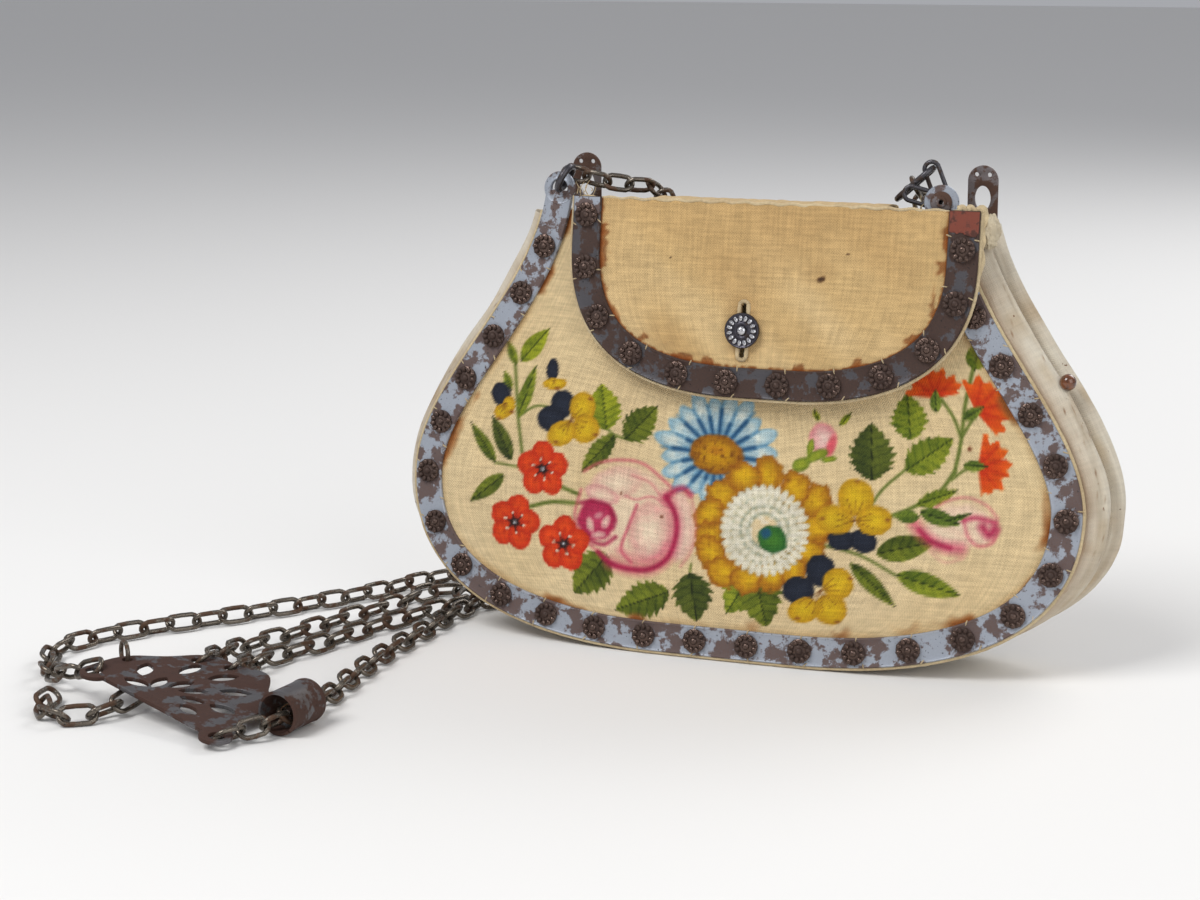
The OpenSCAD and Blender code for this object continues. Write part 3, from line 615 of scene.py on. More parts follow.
def amberFinish():
    finish, tree, shader = newFinish("amberBead")
    soil = placeGroup(tree, soiling, Scale=420.0, Specks=0.4)
    colour = mixColour(tree, soil.outputs["Cloud"], linear(112, 62, 28), linear(52, 28, 14))
    tree.links.new(colour, shader.inputs["Base Color"])
    shader.inputs["Roughness"].default_value = 0.16
    shader.inputs["Coat Weight"].default_value = 0.6
    return finish


looks = {name: clothFinish(name) for name in clothLooks}
looks.update({name: steelFinish(name) for name in steelLooks})
looks["amberBead"] = amberFinish()
print("finishes made:", len(looks))


# chains first: the same routes as the part's, one oval link modelled and copied
chainSet = {"wire": 1.5, "long": 11.8, "short": 9.8, "wide": 6.8, "slack": 0.12, "bends": 20, "sides": 8}
plateSet = {"half": 27, "rise": 38, "mid": (-127, -130, 6), "turn": -23, "tilt": 7, "eyes": (-17, -7.5)}
collarSet = {"wide": 12.4, "long": 14.5, "sheet": 0.9, "place": (-90, -119), "turn": -98}
ringSet = {"postLong": 8.2, "cornerLong": 15.6, "cornerWide": 8.6, "cornerWire": 1.7, "cornerTurn": 42,
           "leftRadius": 3.9, "leftWire": 2.1, "leftTurn": -62, "leftHang": 3.5, "plateRadius": 3.3,
           "plateWire": 1.3, "platePlace": (-31, 13.84, 1.64), "plateTurn": 160}
lie = (chainSet["wide"] - chainSet["wire"]) / 2 * math.cos(math.pi / 4) + chainSet["wire"] / 2


def onePoint(point):
    return point[0] / mm


def platePoint(x, y):
    turn, tilt = math.radians(plateSet["turn"]), math.radians(plateSet["tilt"])
    flat = (x * math.cos(tilt) * math.cos(turn) - y * math.sin(turn),
            x * math.cos(tilt) * math.sin(turn) + y * math.cos(turn), -x * math.sin(tilt))
    return np.array(plateSet["mid"]) + flat


def plateEye(side):
    return platePoint(side * (plateSet["half"] + 0.3), 0.8)


def topEye(index):
    x = plateSet["eyes"][index]
    reach = math.sqrt(1 - ((x + 3) / (plateSet["half"] + 2)) ** 2)
    return platePoint(x, plateSet["rise"] * reach - 4.4)


leftEye = onePoint(frontPoint(-hornMid, bag["eyeletHeight"], bag["bandThick"] / 2))
postEye = onePoint(frontPoint(hornMid, bag["eyeletHeight"], bag["bandThick"]))
ringMid = postEye + (-9.2, 7.4, 4.4)
hangY = bag["depth"] / 2 + bag["bandThick"] + lie + 0.6
topY = onePoint(backPoint(0.0, backTop, 0.0))[1]
topZ = onePoint(backPoint(0.0, backTop, 0.0))[2] + lie + 1
leftX = bag["flapShift"] - 2 - bag["bridgeHalf"] - lie - 1.6
rightX = bag["flapShift"] - 2 + bag["bridgeHalf"] + lie + 4.2
inCollar = lie + collarSet["sheet"] + 1.08
leftRoute = [
    leftEye + (0.4, 3.84, 4.55), (leftX - 10.1, topY - 8.7, topZ + 3.74),
    (leftX - 1, topY - 2.5, topZ + 2.4), (leftX + 0.6, hangY - 1.2, topZ - 3.5),
    (leftX, hangY, topZ - 17), (leftX - 1, hangY, 70), (leftX - 2, hangY + 0.5, 24),
    (leftX - 8, hangY + 3, 8), (leftX - 20, hangY + 4, lie), (leftX - 40, hangY + 1, lie), (-86, 12, lie),
    (-91, -6, lie), (-91.5, -24, lie), (-93, -50, lie), (-92, -76, lie), (-90, -98, lie),
    (-89.6, -111.2, inCollar), (-90.6, -126.5, inCollar + 0.16), plateEye(1) + (5.51, 7.77, 0.71),
    plateEye(1) + (0.01, 0.68, -0.05),
]
rightRoute = [
    ringMid + (-1.09, 2.6, -0.42), (rightX - 0.6, topY + 1.5, topZ + 3.2),
    (rightX, hangY - 1, topZ - 4.5), (rightX + 1, hangY, topZ - 17), (rightX + 1, hangY, 70),
    (rightX, hangY + 0.5, 26), (rightX - 7, hangY + 4, 8), (rightX - 22, hangY + 7, lie),
    (0, hangY + 16, lie), (-60, hangY + 24, lie), (-104, 42, lie), (-128, 4, lie), (-151, -28, lie),
    (-176, -58, lie), (-186.5, -80, lie), (-180, -98, lie), (-169.3, -110.3, lie + 2.1),
    plateEye(-1) + (0.55, 1.66, 1.34),
]
loopRoute = [
    topEye(0) + (1.02, 0.67, 0.61), (-134.15, -65.5, lie + 1.06), (-127, -42, lie), (-119.5, -20, lie),
    (-111.5, 0, lie), (-110, 11.6, lie), (-104.25, 20.15, lie), (-95.4, 17.65, lie), (-93.85, 6.85, lie),
    (-98, -4, lie), (-108, -28, lie), (-116, -53, lie), (-122.7, -71.7, lie + 0.4),
    topEye(1) + (0.55, 1.03, 0.52),
]
tailRoute = [(-163, -121.5, lie), (-161, -132, lie), (-151, -138, lie), (-142, -131.5, lie),
             (-138, -119, lie + 2.2)]


def throughPoints(a, b, c, d, t):  # a smooth step from b to c
    return 0.5 * (2 * b + (c - a) * t + (2 * a - 5 * b + 4 * c - d) * t * t
                  + (3 * b - a - 3 * c + d) * t ** 3)


def smoothRoute(points):
    p = np.array([np.asarray(q, float) for q in points])
    line = []
    for i in range(len(p) - 1):
        a, b, c, d = p[max(i - 1, 0)], p[i], p[i + 1], p[min(i + 2, len(p) - 1)]
        for t in np.arange(8) / 8:
            q = throughPoints(a, b, c, d, t)
            line.append((q[0], q[1], max(q[2], lie)))
    line.append(tuple(p[-1]))
    return np.array(line)


def ovalLink(name, long, width, wire, bends, sides):
    bpy.ops.object.select_all(action="DESELECT")
    bpy.ops.mesh.primitive_torus_add(major_radius=(width - wire) / 2 * mm, minor_radius=wire / 2 * mm,
                                     major_segments=bends, minor_segments=sides,
                                     rotation=(math.pi / 2, 0, 0))
    bpy.ops.object.transform_apply(rotation=True)
    link = bpy.context.object
    link.name = name
    stretch = (long - width) / 2 * mm
    for vertex in link.data.vertices:  # pull the two bends apart, which leaves straight sides
        if abs(vertex.co.x) > 1e-6:
            vertex.co.x += math.copysign(stretch, vertex.co.x)
    return link


def linkPlaces(route, long):
    line = smoothRoute(route)
    run = runLength(line)
    count = math.ceil(run[-1] / (long - 2 * chainSet["wire"] - chainSet["slack"]))
    knots = pointsAlong(line, np.arange(count + 1) * run[-1] / count)
    ahead = np.diff(knots, axis=0)
    ahead /= np.linalg.norm(ahead, axis=1)[:, None]
    places = []
    up = np.array([0.0, 0.0, 1.0])
    for i in range(count - 1, -1, -1):
        up = up - np.dot(up, ahead[i]) * ahead[i]
        up /= np.linalg.norm(up)
        side = np.cross(up, ahead[i])
        place = Matrix(np.column_stack([ahead[i], side, up]).tolist()).to_4x4()
        place.translation = Vector((knots[i] + knots[i + 1]) / 2 * mm)
        roll = math.radians(45 if i % 2 == 0 else -45)
        places.append(place @ Matrix.Rotation(roll, 4, "X"))
    return places, line * mm, run[-1] * mm


def makeChain(name, route, long, node):
    places, line, length = linkPlaces(route, long)
    link = ovalLink(name + "Link", long, chainSet["wide"], chainSet["wire"], chainSet["bends"],
                    chainSet["sides"])
    chain = stamped(name, link, places)
    settle(chain, "bag", (node,), looks["chainSteel"], 60)
    print(name, len(places), "links, route", round(length, 4), "m")
    return chain, line, length


leftChain, leftLine, leftLength = makeChain("leftChain", leftRoute, chainSet["short"], "chain_left")
rightChain, rightLine, rightLength = makeChain("rightChain", rightRoute, chainSet["long"], "chain_right")
loopChain, loopLine, loopLength = makeChain("loopChain", loopRoute, chainSet["long"], "chain_loop")
tailChain, tailLine, tailLength = makeChain("tailChain", tailRoute, chainSet["long"], "chain_tail")


# hook plate, its ring and the rolled collar, which go with the chains
def onPlate():
    turn = Matrix.Rotation(math.radians(plateSet["turn"]), 4, "Z")
    tilt = Matrix.Rotation(math.radians(plateSet["tilt"]), 4, "Y")
    return Matrix.Translation(Vector(plateSet["mid"]) * mm) @ turn @ tilt


def copyOfNode(node, name):
    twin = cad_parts[node].copy()
    twin.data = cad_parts[node].data.copy()
    for key in list(twin.keys()):
        del twin[key]
    twin.parent = None
    twin.name = name
    twin.data.name = name
    bpy.context.scene.collection.objects.link(twin)
    return twin


def bevelledNode(node, name, width, material):
    piece = copyOfNode(node, name)
    weld(piece, 2e-6)
    editAll(piece)
    bpy.ops.mesh.dissolve_limited(angle_limit=math.radians(1.0))
    bpy.ops.object.mode_set(mode="OBJECT")
    applyModifier(piece, "BEVEL", width=width * mm, segments=2, limit_method="ANGLE",
                  angle_limit=math.radians(40))
    applyModifier(piece, "TRIANGULATE")
    return settle(piece, "bag", (node,), looks[material], 35)


def makePlateRing():
    bpy.ops.object.select_all(action="DESELECT")
    bpy.ops.mesh.primitive_torus_add(major_radius=ringSet["plateRadius"] * mm,
                                     minor_radius=ringSet["plateWire"] / 2 * mm, major_segments=40,
                                     minor_segments=10)
    ring = bpy.context.object
    ring.name = "plateRing"
    seat = onPlate() @ Matrix.Translation(Vector(ringSet["platePlace"]) * mm)
    seat = seat @ Matrix.Rotation(math.radians(ringSet["plateTurn"]), 4, "Z")
    ring.data.transform(seat @ Matrix.Rotation(math.pi / 2, 4, "X"))
    return settle(ring, "bag", ("plate_ring",), looks["chainSteel"], 60)


def makeCollar():  # a rolled sheet with an open seam and a turned lip at both ends
    outer, sheet = collarSet["wide"] / 2, collarSet["sheet"]
    length = collarSet["long"]
    profile = np.array([(0.0, outer - sheet), (0.0, outer - 0.15), (0.25, outer), (1.3, outer),
                        (1.7, outer - 0.18),
                        (length - 1.7, outer - 0.18), (length - 1.3, outer), (length - 0.25, outer),
                        (length, outer - 0.15), (length, outer - sheet), (0.0, outer - sheet)])
    gap = math.radians(5)

    def place(s, t):
        at = pointsAlong(profile, t * runLength(profile)[-1])
        a = math.radians(-50) + gap / 2 + s * (2 * math.pi - gap)
        return np.column_stack([at[:, 0] - length / 2, at[:, 1] * np.cos(a), at[:, 1] * np.sin(a)]) * mm

    collar = newGrid("rolledCollar", 56, 40, place, (38, 30), wrapped=True)
    capEnds(collar)
    seat = Matrix.Translation(Vector((*collarSet["place"], outer)) * mm)
    collar.data.transform(seat @ Matrix.Rotation(math.radians(collarSet["turn"]), 4, "Z"))
    return settle(collar, "bag", ("rolled_collar",), looks["plateSteel"], 30)


hookPlate = bevelledNode("hook_plate", "hookPlate", 0.32, "plateSteel")
plateRing, rolledCollar = makePlateRing(), makeCollar()


# rosettes: a turned base, a ring of beads and a middle boss, modelled once
rosetteSet = {"wide": 7.6, "plate": 0.5, "steps": ((0.28, 0.22), (1.25, -0.12), (0.55, 0.25)), "beads": 10,
              "beadSize": 0.78, "beadRing": 2.72, "beadRise": 0.85, "beadShape": (1.22, 0.92, 0.8),
              "boss": 1.12, "bossRise": 0.75, "bossShape": (1, 1, 0.85)}


def makeRosette():
    bpy.ops.object.select_all(action="DESELECT")
    r, plate = rosetteSet["wide"] / 2 * mm, rosetteSet["plate"] * mm
    bpy.ops.mesh.primitive_cylinder_add(vertices=40, radius=r * 0.93, depth=plate,
                                        location=(0, 0, plate / 2), end_fill_type="NGON")
    base = bpy.context.object
    pickFaces(base, lambda face: face.normal.z > 0.9)
    for width, rise in rosetteSet["steps"]:
        bpy.ops.mesh.inset(thickness=width * mm, depth=rise * mm)
    bpy.ops.object.mode_set(mode="OBJECT")
    parts = [base]
    for i in range(rosetteSet["beads"]):
        a = 2 * math.pi * i / rosetteSet["beads"]
        reach = rosetteSet["beadRing"] * mm
        spot = (reach * math.cos(a), reach * math.sin(a), rosetteSet["beadRise"] * mm)
        bpy.ops.mesh.primitive_uv_sphere_add(segments=10, ring_count=6, radius=rosetteSet["beadSize"] * mm,
                                             location=spot, rotation=(0, 0, a))
        bead = bpy.context.object
        bead.scale = rosetteSet["beadShape"]
        bpy.ops.object.transform_apply(location=True, rotation=True, scale=True)
        parts.append(bead)
    bpy.ops.mesh.primitive_uv_sphere_add(segments=16, ring_count=8, radius=rosetteSet["boss"] * mm,
                                         location=(0, 0, rosetteSet["bossRise"] * mm))
    boss = bpy.context.object
    boss.scale = rosetteSet["bossShape"]
    bpy.ops.object.transform_apply(location=True, rotation=True, scale=True)
    parts.append(boss)
    rosette = joinAll("rosette", parts)
    bpy.ops.object.transform_apply(location=True, rotation=True, scale=True)
    return rosette


def spread(line, count, start, end):
    total = runLength(line)[-1]
    return pointsAlong(line, start + np.arange(count) * (total - start - end) / (count - 1))


frontSpots = spread(edgeLine(panelCurves, bandMid, 12), bag["frontRosettes"], 17.5, 17.5)
flapSpots = spread(edgeLine(flapCurves, bandMid, 12, bag["flapShift"]), bag["flapRosettes"], 5.5, 11)
frontSeats = [frontSeat(u, v, bag["bandThick"]) @ Matrix.Rotation(0.37 * i, 4, "Z")
              for i, (u, v) in enumerate(frontSpots)]
flapSeats = [frontSeat(u, v, flapOuter + bag["bandThick"]) @ Matrix.Rotation(0.53 * i, 4, "Z")
             for i, (u, v) in enumerate(flapSpots)]
frontRosettes = stamped("frontRosettes", makeRosette(), frontSeats)
settle(frontRosettes, "bag", ("front_rosettes",), looks["rosetteSteel"], 50)
flapRosettes = stamped("flapRosettes", makeRosette(), flapSeats)
settle(flapRosettes, "flap", ("flap_rosettes",), looks["rosetteSteel"], 50)
print("rosettes in place:", len(frontSeats) + len(flapSeats))


# steel bands: a strip with softly rolled edges along the outline
bandSet = {"roll": 0.35, "lift": 0.18, "steps": 60, "wave": 0.12}


def makeBand(name, node, body, curves, point, base, top, shift=0.0,
             material="paleSteel"):
    inner = edgeLine(curves, bag["bareEdge"] + bag["bandWidth"], bandSet["steps"], shift)
    outer = edgeLine(curves, bag["bareEdge"], bandSet["steps"], shift)
    keep = outer[:, 1] <= top
    inner, outer = inner[keep], outer[keep]
    count = len(outer)
    thick, roll = bag["bandThick"], bandSet["roll"]
    section = np.array([(0, 0.05), (0, thick - roll), (0.012, thick - 0.1),
                        (0.045, thick + bandSet["lift"]),
                        (0.10, thick), (0.25, thick - 0.04), (0.5, thick - 0.06), (0.75, thick - 0.04),
                        (0.90, thick), (0.955, thick + bandSet["lift"]), (0.988, thick - 0.1),
                        (1, thick - roll), (1, 0.05), (0, 0.05)])

    def place(s, t):
        i = np.rint(s * (count - 1)).astype(int)
        j = np.rint(t * (len(section) - 1)).astype(int)
        across = section[j, 0][:, None]
        at = outer[i] * (1 - across) + inner[i] * across
        ripple = bandSet["wave"] * (valueNoise(at[:, 0], at[:, 1], 7.0, 3) - 0.5)
        return point(at[:, 0], at[:, 1], base + section[j, 1] + ripple * (section[j, 1] > 0.1))

    band = newGrid(name, count - 1, len(section) - 1, place, (runLength(outer)[-1], 20), wrapped=True)
    capEnds(band)
    return settle(band, body, (node,), looks[material], 45)


frontBand = makeBand("frontBand", "front_band", "bag", panelCurves, frontPoint, 0.0, tall + 1)
backBand = makeBand("backBand", "back_band", "bag", panelCurves, backPoint, 0.0, backTop)
flapBand = makeBand("flapBand", "flap_band", "flap", flapCurves, frontPoint, flapOuter, ft + 1,
                    bag["flapShift"], "blueBlackSteel")
print("bands in place")


# painting: fields of colour laid one over another on a canvas of points, in mm and screen colours
def newCanvas(u, v, ground):
    return {"u": u, "v": v, "colour": np.tile(np.array(ground, float), (len(u), 1))}


def dab(canvas, share, colour):
    share = np.clip(share, 0, 1)[:, None]
    canvas["colour"] = canvas["colour"] * (1 - share) + np.asarray(colour, float) * share


def turnedFrom(canvas, centre, turn):
    a = math.radians(turn)
    x, y = canvas["u"] - centre[0], canvas["v"] - centre[1]
    return x * math.cos(a) + y * math.sin(a), y * math.cos(a) - x * math.sin(a)


def between(low, high, share):
    share = np.clip(share, 0, 1)[:, None]
    return np.asarray(low, float) * (1 - share) + np.asarray(high, float) * share


def paintOval(canvas, centre, wide, high, heart, rim, turn=0, soft=0.14, ragged=0.05, seed=1, strength=1.0):
    x, y = turnedFrom(canvas, centre, turn)
    rough = ragged * (valueNoise(canvas["u"], canvas["v"], 1.4, seed) - 0.5) * 2
    r = np.hypot(x / wide, y / high) + rough
    fleck = 0.25 * (valueNoise(canvas["u"], canvas["v"], 0.9, seed + 9) - 0.5)
    dab(canvas, (1 - r) / soft * strength, between(heart, rim, np.maximum(r, 0) ** 1.6 + fleck))


def paintLine(canvas, points, wide, colour, soft=0.5, strength=1.0):
    p = np.array(points, float)
    away = np.full(len(canvas["u"]), 1e9)
    spot = np.column_stack([canvas["u"], canvas["v"]])
    for a, b in zip(p[:-1], p[1:]):
        d = b - a
        t = np.clip(((spot - a) @ d) / (d @ d), 0, 1)
        away = np.minimum(away, np.linalg.norm(spot - a - t[:, None] * d, axis=1))
    dab(canvas, ((wide / 2 - away) / soft + 0.5) * strength, colour)


def bentLine(points, count=14):
    p = [np.array(q, float) for q in points]
    p = [2 * p[0] - p[1]] + p + [2 * p[-1] - p[-2]]
    line = []
    for i in range(1, len(p) - 2):
        for t in np.linspace(0, 1, count, endpoint=False):
            line.append(throughPoints(p[i - 1], p[i], p[i + 1], p[i + 2], t))
    return np.array(line + [p[-2]])


def arcLine(centre, wide, high, start, end, turn=0):
    a = np.radians(np.linspace(start, end, 26))
    t = math.radians(turn)
    x, y = wide * np.cos(a), high * np.sin(a)
    return np.column_stack([centre[0] + x * math.cos(t) - y * math.sin(t),
                            centre[1] + x * math.sin(t) + y * math.cos(t)])


def paintLeaf(canvas, base, tip, wide, light, dark, teeth=0, seed=1):
    base, tip = np.array(base, float), np.array(tip, float)
    long = np.linalg.norm(tip - base)
    turn = math.degrees(math.atan2(*(tip - base)[::-1]))
    x, y = turnedFrom(canvas, base, turn)
    s = np.clip(x / long, 1e-4, 1 - 1e-4)
    half = wide / 2 * np.sin(np.pi * s ** 0.8) ** 0.8
    if teeth:
        half = half * (0.88 + 0.3 * np.modf(s * teeth + 0.2)[0])
    half = np.maximum(half, 0.02)
    inside = np.where((x > 0) & (x < long), half - np.abs(y), -1.0)
    vein = np.abs(np.modf(np.abs(s * 6.5 - np.abs(y) / (wide / 2) * 0.9 + 2))[0] - 0.5) * 2
    cloud = valueNoise(canvas["u"], canvas["v"], 2.2, seed)
    share = 0.15 + 0.5 * cloud + 0.3 * (y < 0) - 0.3 * (vein < 0.25) + 0.25 * s
    dab(canvas, inside / 0.45, between(dark, light, share))
    dab(canvas, np.where(inside > 0, (0.28 - np.abs(y)) / 0.2, 0), np.array(dark) * 0.7)


leafTones = {
    "lime": ((172, 178, 40), (86, 102, 22)), "olive": ((124, 134, 38), (54, 68, 20)),
    "deep": ((96, 106, 36), (42, 54, 22)), "moss": ((148, 156, 42), (66, 86, 22)),
}
leafPlan = [  # base, tip, width, tone, teeth
    ((-39.4, 65.6), (-41.8, 79.4), 10.6, "lime", 7), ((-33.5, 63.0), (-23.6, 73.8), 9.6, "olive", 7),
    ((-36.6, 64.4), (-47.2, 52.2), 6.6, "olive", 8), ((42.5, 56.5), (41.3, 73.2), 13.0, "deep", 8),
    ((53.0, 69.0), (51.2, 82.4), 10.2, "moss", 7), ((52.0, 60.0), (65.2, 70.4), 10.0, "moss", 7),
    ((-75.8, 53.0), (-84.9, 64.8), 4.8, "olive", 0), ((-70.5, 54.0), (-77.6, 67.4), 6.0, "deep", 0),
    ((-72.6, 49.6), (-84.2, 40.3), 5.6, "olive", 0), ((-68.7, 84.5), (-59.6, 95.0), 6.4, "lime", 0),
    ((-68.8, 67.4), (-63.3, 84.0), 4.8, "moss", 0), ((-70.0, 83.0), (-73.6, 91.0), 3.6, "moss", 0),
    ((-71.5, 75.5), (-74.2, 81.5), 3.4, "moss", 0), ((-37.2, 28.4), (-47.6, 15.4), 12.4, "olive", 7),
    ((-17.0, 18.9), (-34.0, 11.8), 10.6, "olive", 8), ((-11.0, 25.0), (-8.0, 10.6), 12.0, "deep", 6),
    ((8.4, 27.0), (1.0, 14.0), 11.0, "moss", 6), ((9.0, 27.0), (13.5, 11.0), 13.0, "olive", 6),
    ((44.7, 35.4), (62.2, 40.4), 8.0, "olive", 0), ((37.3, 32.2), (51.6, 20.2), 5.4, "olive", 0),
    ((51.0, 29.8), (70.2, 25.2), 7.2, "moss", 0), ((70.0, 90.0), (71.4, 99.0), 7.0, "moss", 0),
    ((55.6, 50.4), (67.6, 55.6), 4.6, "moss", 5), ((26.0, 72.6), (24.0, 76.4), 2.2, "lime", 0),
    ((32.0, 71.6), (35.6, 76.0), 2.4, "lime", 0),
]
stemPlan = [  # points, width
    ([(-70.6, 84.0), (-69.6, 75.0), (-68.8, 67.4), (-67.0, 57.0)], 1.1),
    ([(-68.6, 67.6), (-63.0, 71.2), (-55.6, 71.0)], 0.8),
    ([(-76.0, 53.0), (-69.0, 52.4), (-66.0, 52.0)], 0.8),
    ([(-64.0, 40.4), (-56.0, 42.6), (-47.6, 42.8)], 1.3), ([(-53.5, 47.4), (-47.6, 45.6)], 1.3),
    ([(-39.4, 66.0), (-36.6, 64.2), (-32.5, 63.2)], 0.9),
    ([(69.7, 91.0), (68.0, 80.0), (67.4, 69.5), (66.0, 60.0)], 1.2),
    ([(66.2, 61.0), (62.0, 54.6), (54.6, 49.6), (46.0, 45.6)], 1.2),
    ([(67.5, 70.6), (70.4, 76.0), (73.4, 79.4)], 1.0),
    ([(65.4, 58.4), (69.0, 61.4), (74.0, 63.0)], 0.9), ([(61.2, 81.2), (65.0, 76.0), (67.2, 71.0)], 1.0),
    ([(42.4, 49.0), (46.0, 54.6), (52.0, 60.4)], 0.9), ([(28.6, 36.8), (40.0, 34.6), (51.0, 29.6)], 1.0),
    ([(20.6, 59.4), (18.2, 54.4)], 0.9), ([(-10.6, 27.6), (-10.9, 24.8)], 0.8),
]


def paintAnemone(canvas, centre, size, turn, seed):
    for i in range(5):
        a = math.radians(turn + 72 * i)
        spot = (centre[0] + 0.56 * size * math.cos(a), centre[1] + 0.56 * size * math.sin(a))
        paintOval(canvas, spot, 0.52 * size, 0.50 * size, (232, 78, 26), (196, 44, 18), turn + 72 * i, 0.1,
                  0.05, seed + i)
        paintLine(canvas, [centre, spot], 0.9, (176, 34, 16), 0.9, 0.7)
    paintOval(canvas, centre, 1.9, 1.8, (36, 24, 26), (60, 26, 22), 0, 0.5, 0.2, seed)
    for i in range(6):
        a = math.radians(turn + 25 + 60 * i)
        tip = (centre[0] + 3.3 * math.cos(a), centre[1] + 3.1 * math.sin(a))
        paintLine(canvas, [centre, tip], 0.45, (34, 22, 24), 0.4)
        paintOval(canvas, tip, 0.6, 0.5, (244, 226, 204), (214, 170, 140), 0, 0.4, 0, seed)
    paintOval(canvas, centre, 0.75, 0.75, (206, 206, 208), (96, 90, 96), 0, 0.5, 0, seed)


def paintPansy(canvas, centre, navy, yellow, seed):
    for spot, wide, high, turn in navy:
        paintOval(canvas, spot, wide, high, (38, 44, 58), (28, 32, 44), turn, 0.12, 0.05, seed)
    for k, (spot, wide, high, turn) in enumerate(yellow):
        paintOval(canvas, spot, wide, high, (224, 186, 34), (190, 140, 24), turn, 0.1, 0.04, seed + k)
        way = np.array(spot) - np.array(centre)
        for lean in (-0.35, 0.0, 0.35):
            end = np.array(centre) + way * 0.9 + lean * np.array([-way[1], way[0]])
            paintLine(canvas, [centre, end], 0.28, (104, 58, 20), 0.35, 0.6)
        edge = np.array(spot) + way / np.linalg.norm(way) * min(wide, high) * 0.85
        paintOval(canvas, edge, 1.3, 0.8, (120, 60, 34), (150, 90, 30), 0, 0.6, 0.2, seed, 0.6)


def paintCarnation(canvas, base, aim, size, seed):
    x, y = turnedFrom(canvas, base, aim)
    r, a = np.hypot(x, y), np.degrees(np.arctan2(y, x))
    broad, fine = np.abs(np.sin(np.radians(a * 4.2 + seed * 40))), np.sin(np.radians(a * 15))
    lobes = size * (0.80 + 0.13 * broad + 0.08 * fine)
    fan = np.minimum(lobes - r, (82 - np.abs(a)) * r / 60 + 0.4)
    streak = 0.5 + 0.5 * np.sin(np.radians(a * 9 + seed * 50)) * np.clip(r / size, 0, 1)
    share = np.clip(r / size, 0, 1) * 0.75 + 0.35 * streak * valueNoise(canvas["u"], canvas["v"], 1.1, seed)
    dab(canvas, fan / 0.5, between((196, 44, 20), (240, 112, 26), share))
    for k in (-48, -16, 16, 48):
        t = math.radians(aim + k)
        end = (base[0] + 0.8 * size * math.cos(t), base[1] + 0.8 * size * math.sin(t))
        paintLine(canvas, [base, end], 0.6, (182, 36, 18), 0.8, 0.55)


daisySet = {"petals": 20, "across": 20.4, "up": 20.0, "down": 15.0, "wide": 2.9}


def paintDaisy(canvas, centre, seed):
    step = 2 * math.pi / daisySet["petals"]

    def reachAt(a):
        rise = daisySet["up"] if math.sin(a) > 0 else daisySet["down"]
        return math.hypot(daisySet["across"] * math.cos(a), rise * math.sin(a))

    def spotAt(a, share):
        return (centre[0] + share * reachAt(a) * math.cos(a), centre[1] + share * reachAt(a) * math.sin(a))

    for i in range(daisySet["petals"]):
        a = step * i + 0.09
        share = 0.94 + 0.08 * math.sin(i * 2.3)
        paintOval(canvas, spotAt(a, 0.62 * share), 0.38 * share * reachAt(a), daisySet["wide"],
                  (226, 232, 220), (122, 170, 194), math.degrees(a), 0.14, 0.05, seed + i)
    for i in range(daisySet["petals"]):
        a = step * i + 0.09
        dark = 0.66 + 0.09 * math.sin(i * 3.7)
        paintLine(canvas, [spotAt(a, 0.3), spotAt(a, 0.6)], 1.0, (96, 146, 178), 1.6, 0.6)
        paintLine(canvas, [spotAt(a + step / 2, 0.3), spotAt(a + step / 2, dark + 0.1)], 0.7,
                  (64, 118, 156), 1.1, 0.8)
        paintLine(canvas, [spotAt(a + step / 2, 0.3), spotAt(a + step / 2, dark - 0.08)], 1.3,
                  (28, 74, 116), 1.1, 0.9)
    paintOval(canvas, centre, 8.6, 6.2, (206, 152, 22), (140, 82, 22), -4, 0.1, 0.05, seed)
    paintOval(canvas, (centre[0], centre[1] + 1.2), 5.0, 2.6, (186, 120, 24), (214, 164, 30), 0, 0.5, 0.1,
              seed, 0.8)
    grains = valueNoise(canvas["u"], canvas["v"], 0.75, 41)
    x, y = turnedFrom(canvas, centre, -4)
    inside = np.hypot(x / 8.4, y / 6.0) < 0.96
    dab(canvas, np.where(inside, (grains - 0.62) * 3, 0), (124, 72, 20))


def paintAster(canvas, centre, seed):
    frill = [(-2.1, 49.0), (-6.0, 43.0), (-5.4, 36.0), (-4.6, 31.6), (-0.6, 26.2), (7.0, 24.8),
             (14.6, 26.6), (20.4, 29.2),
             (25.2, 34.6), (26.8, 41.6), (26.2, 49.6), (20.0, 52.4), (11.6, 56.0), (4.4, 54.6)]
    for i, spot in enumerate(frill):
        paintOval(canvas, spot, 5.8, 4.8, (222, 174, 30), (150, 84, 20), 40 * i, 0.12, 0.16, seed + i)
    x, y = turnedFrom(canvas, centre, 0)
    for ring, (reach, count) in enumerate(((13.6, 34), (10.2, 26), (7.0, 18))):
        for i in range(count):
            a = 2 * math.pi * i / count + ring * 0.4
            spot = (centre[0] + reach * 0.86 * math.cos(a), centre[1] + reach * 0.86 * math.sin(a))
            paintOval(canvas, spot, reach * 0.17, reach * math.pi / count * 0.98, (238, 230, 206),
                      (206, 200, 172), math.degrees(a), 0.25, 0.05, seed + i)
        paintLine(canvas, arcLine(centre, reach * 0.70, reach * 0.70, 0, 360), 1.0, (116, 142, 132), 0.9,
                  0.55)
    inside = np.hypot(x, y) < 12.6
    dots = valueNoise(canvas["u"], canvas["v"], 1.2, 77)
    dab(canvas, np.where(inside, (dots - 0.55) * 2.2, 0), (240, 234, 214))
    heart = (centre[0] + 2.4, centre[1] - 2.4)
    paintOval(canvas, heart, 4.9, 4.3, (70, 126, 44), (36, 92, 42), -12, 0.12, 0.08, seed)
    paintOval(canvas, (heart[0] - 2.0, heart[1] + 1.6), 2.2, 2.0, (34, 84, 112), (40, 96, 96), 0, 0.4, 0.15,
              seed)


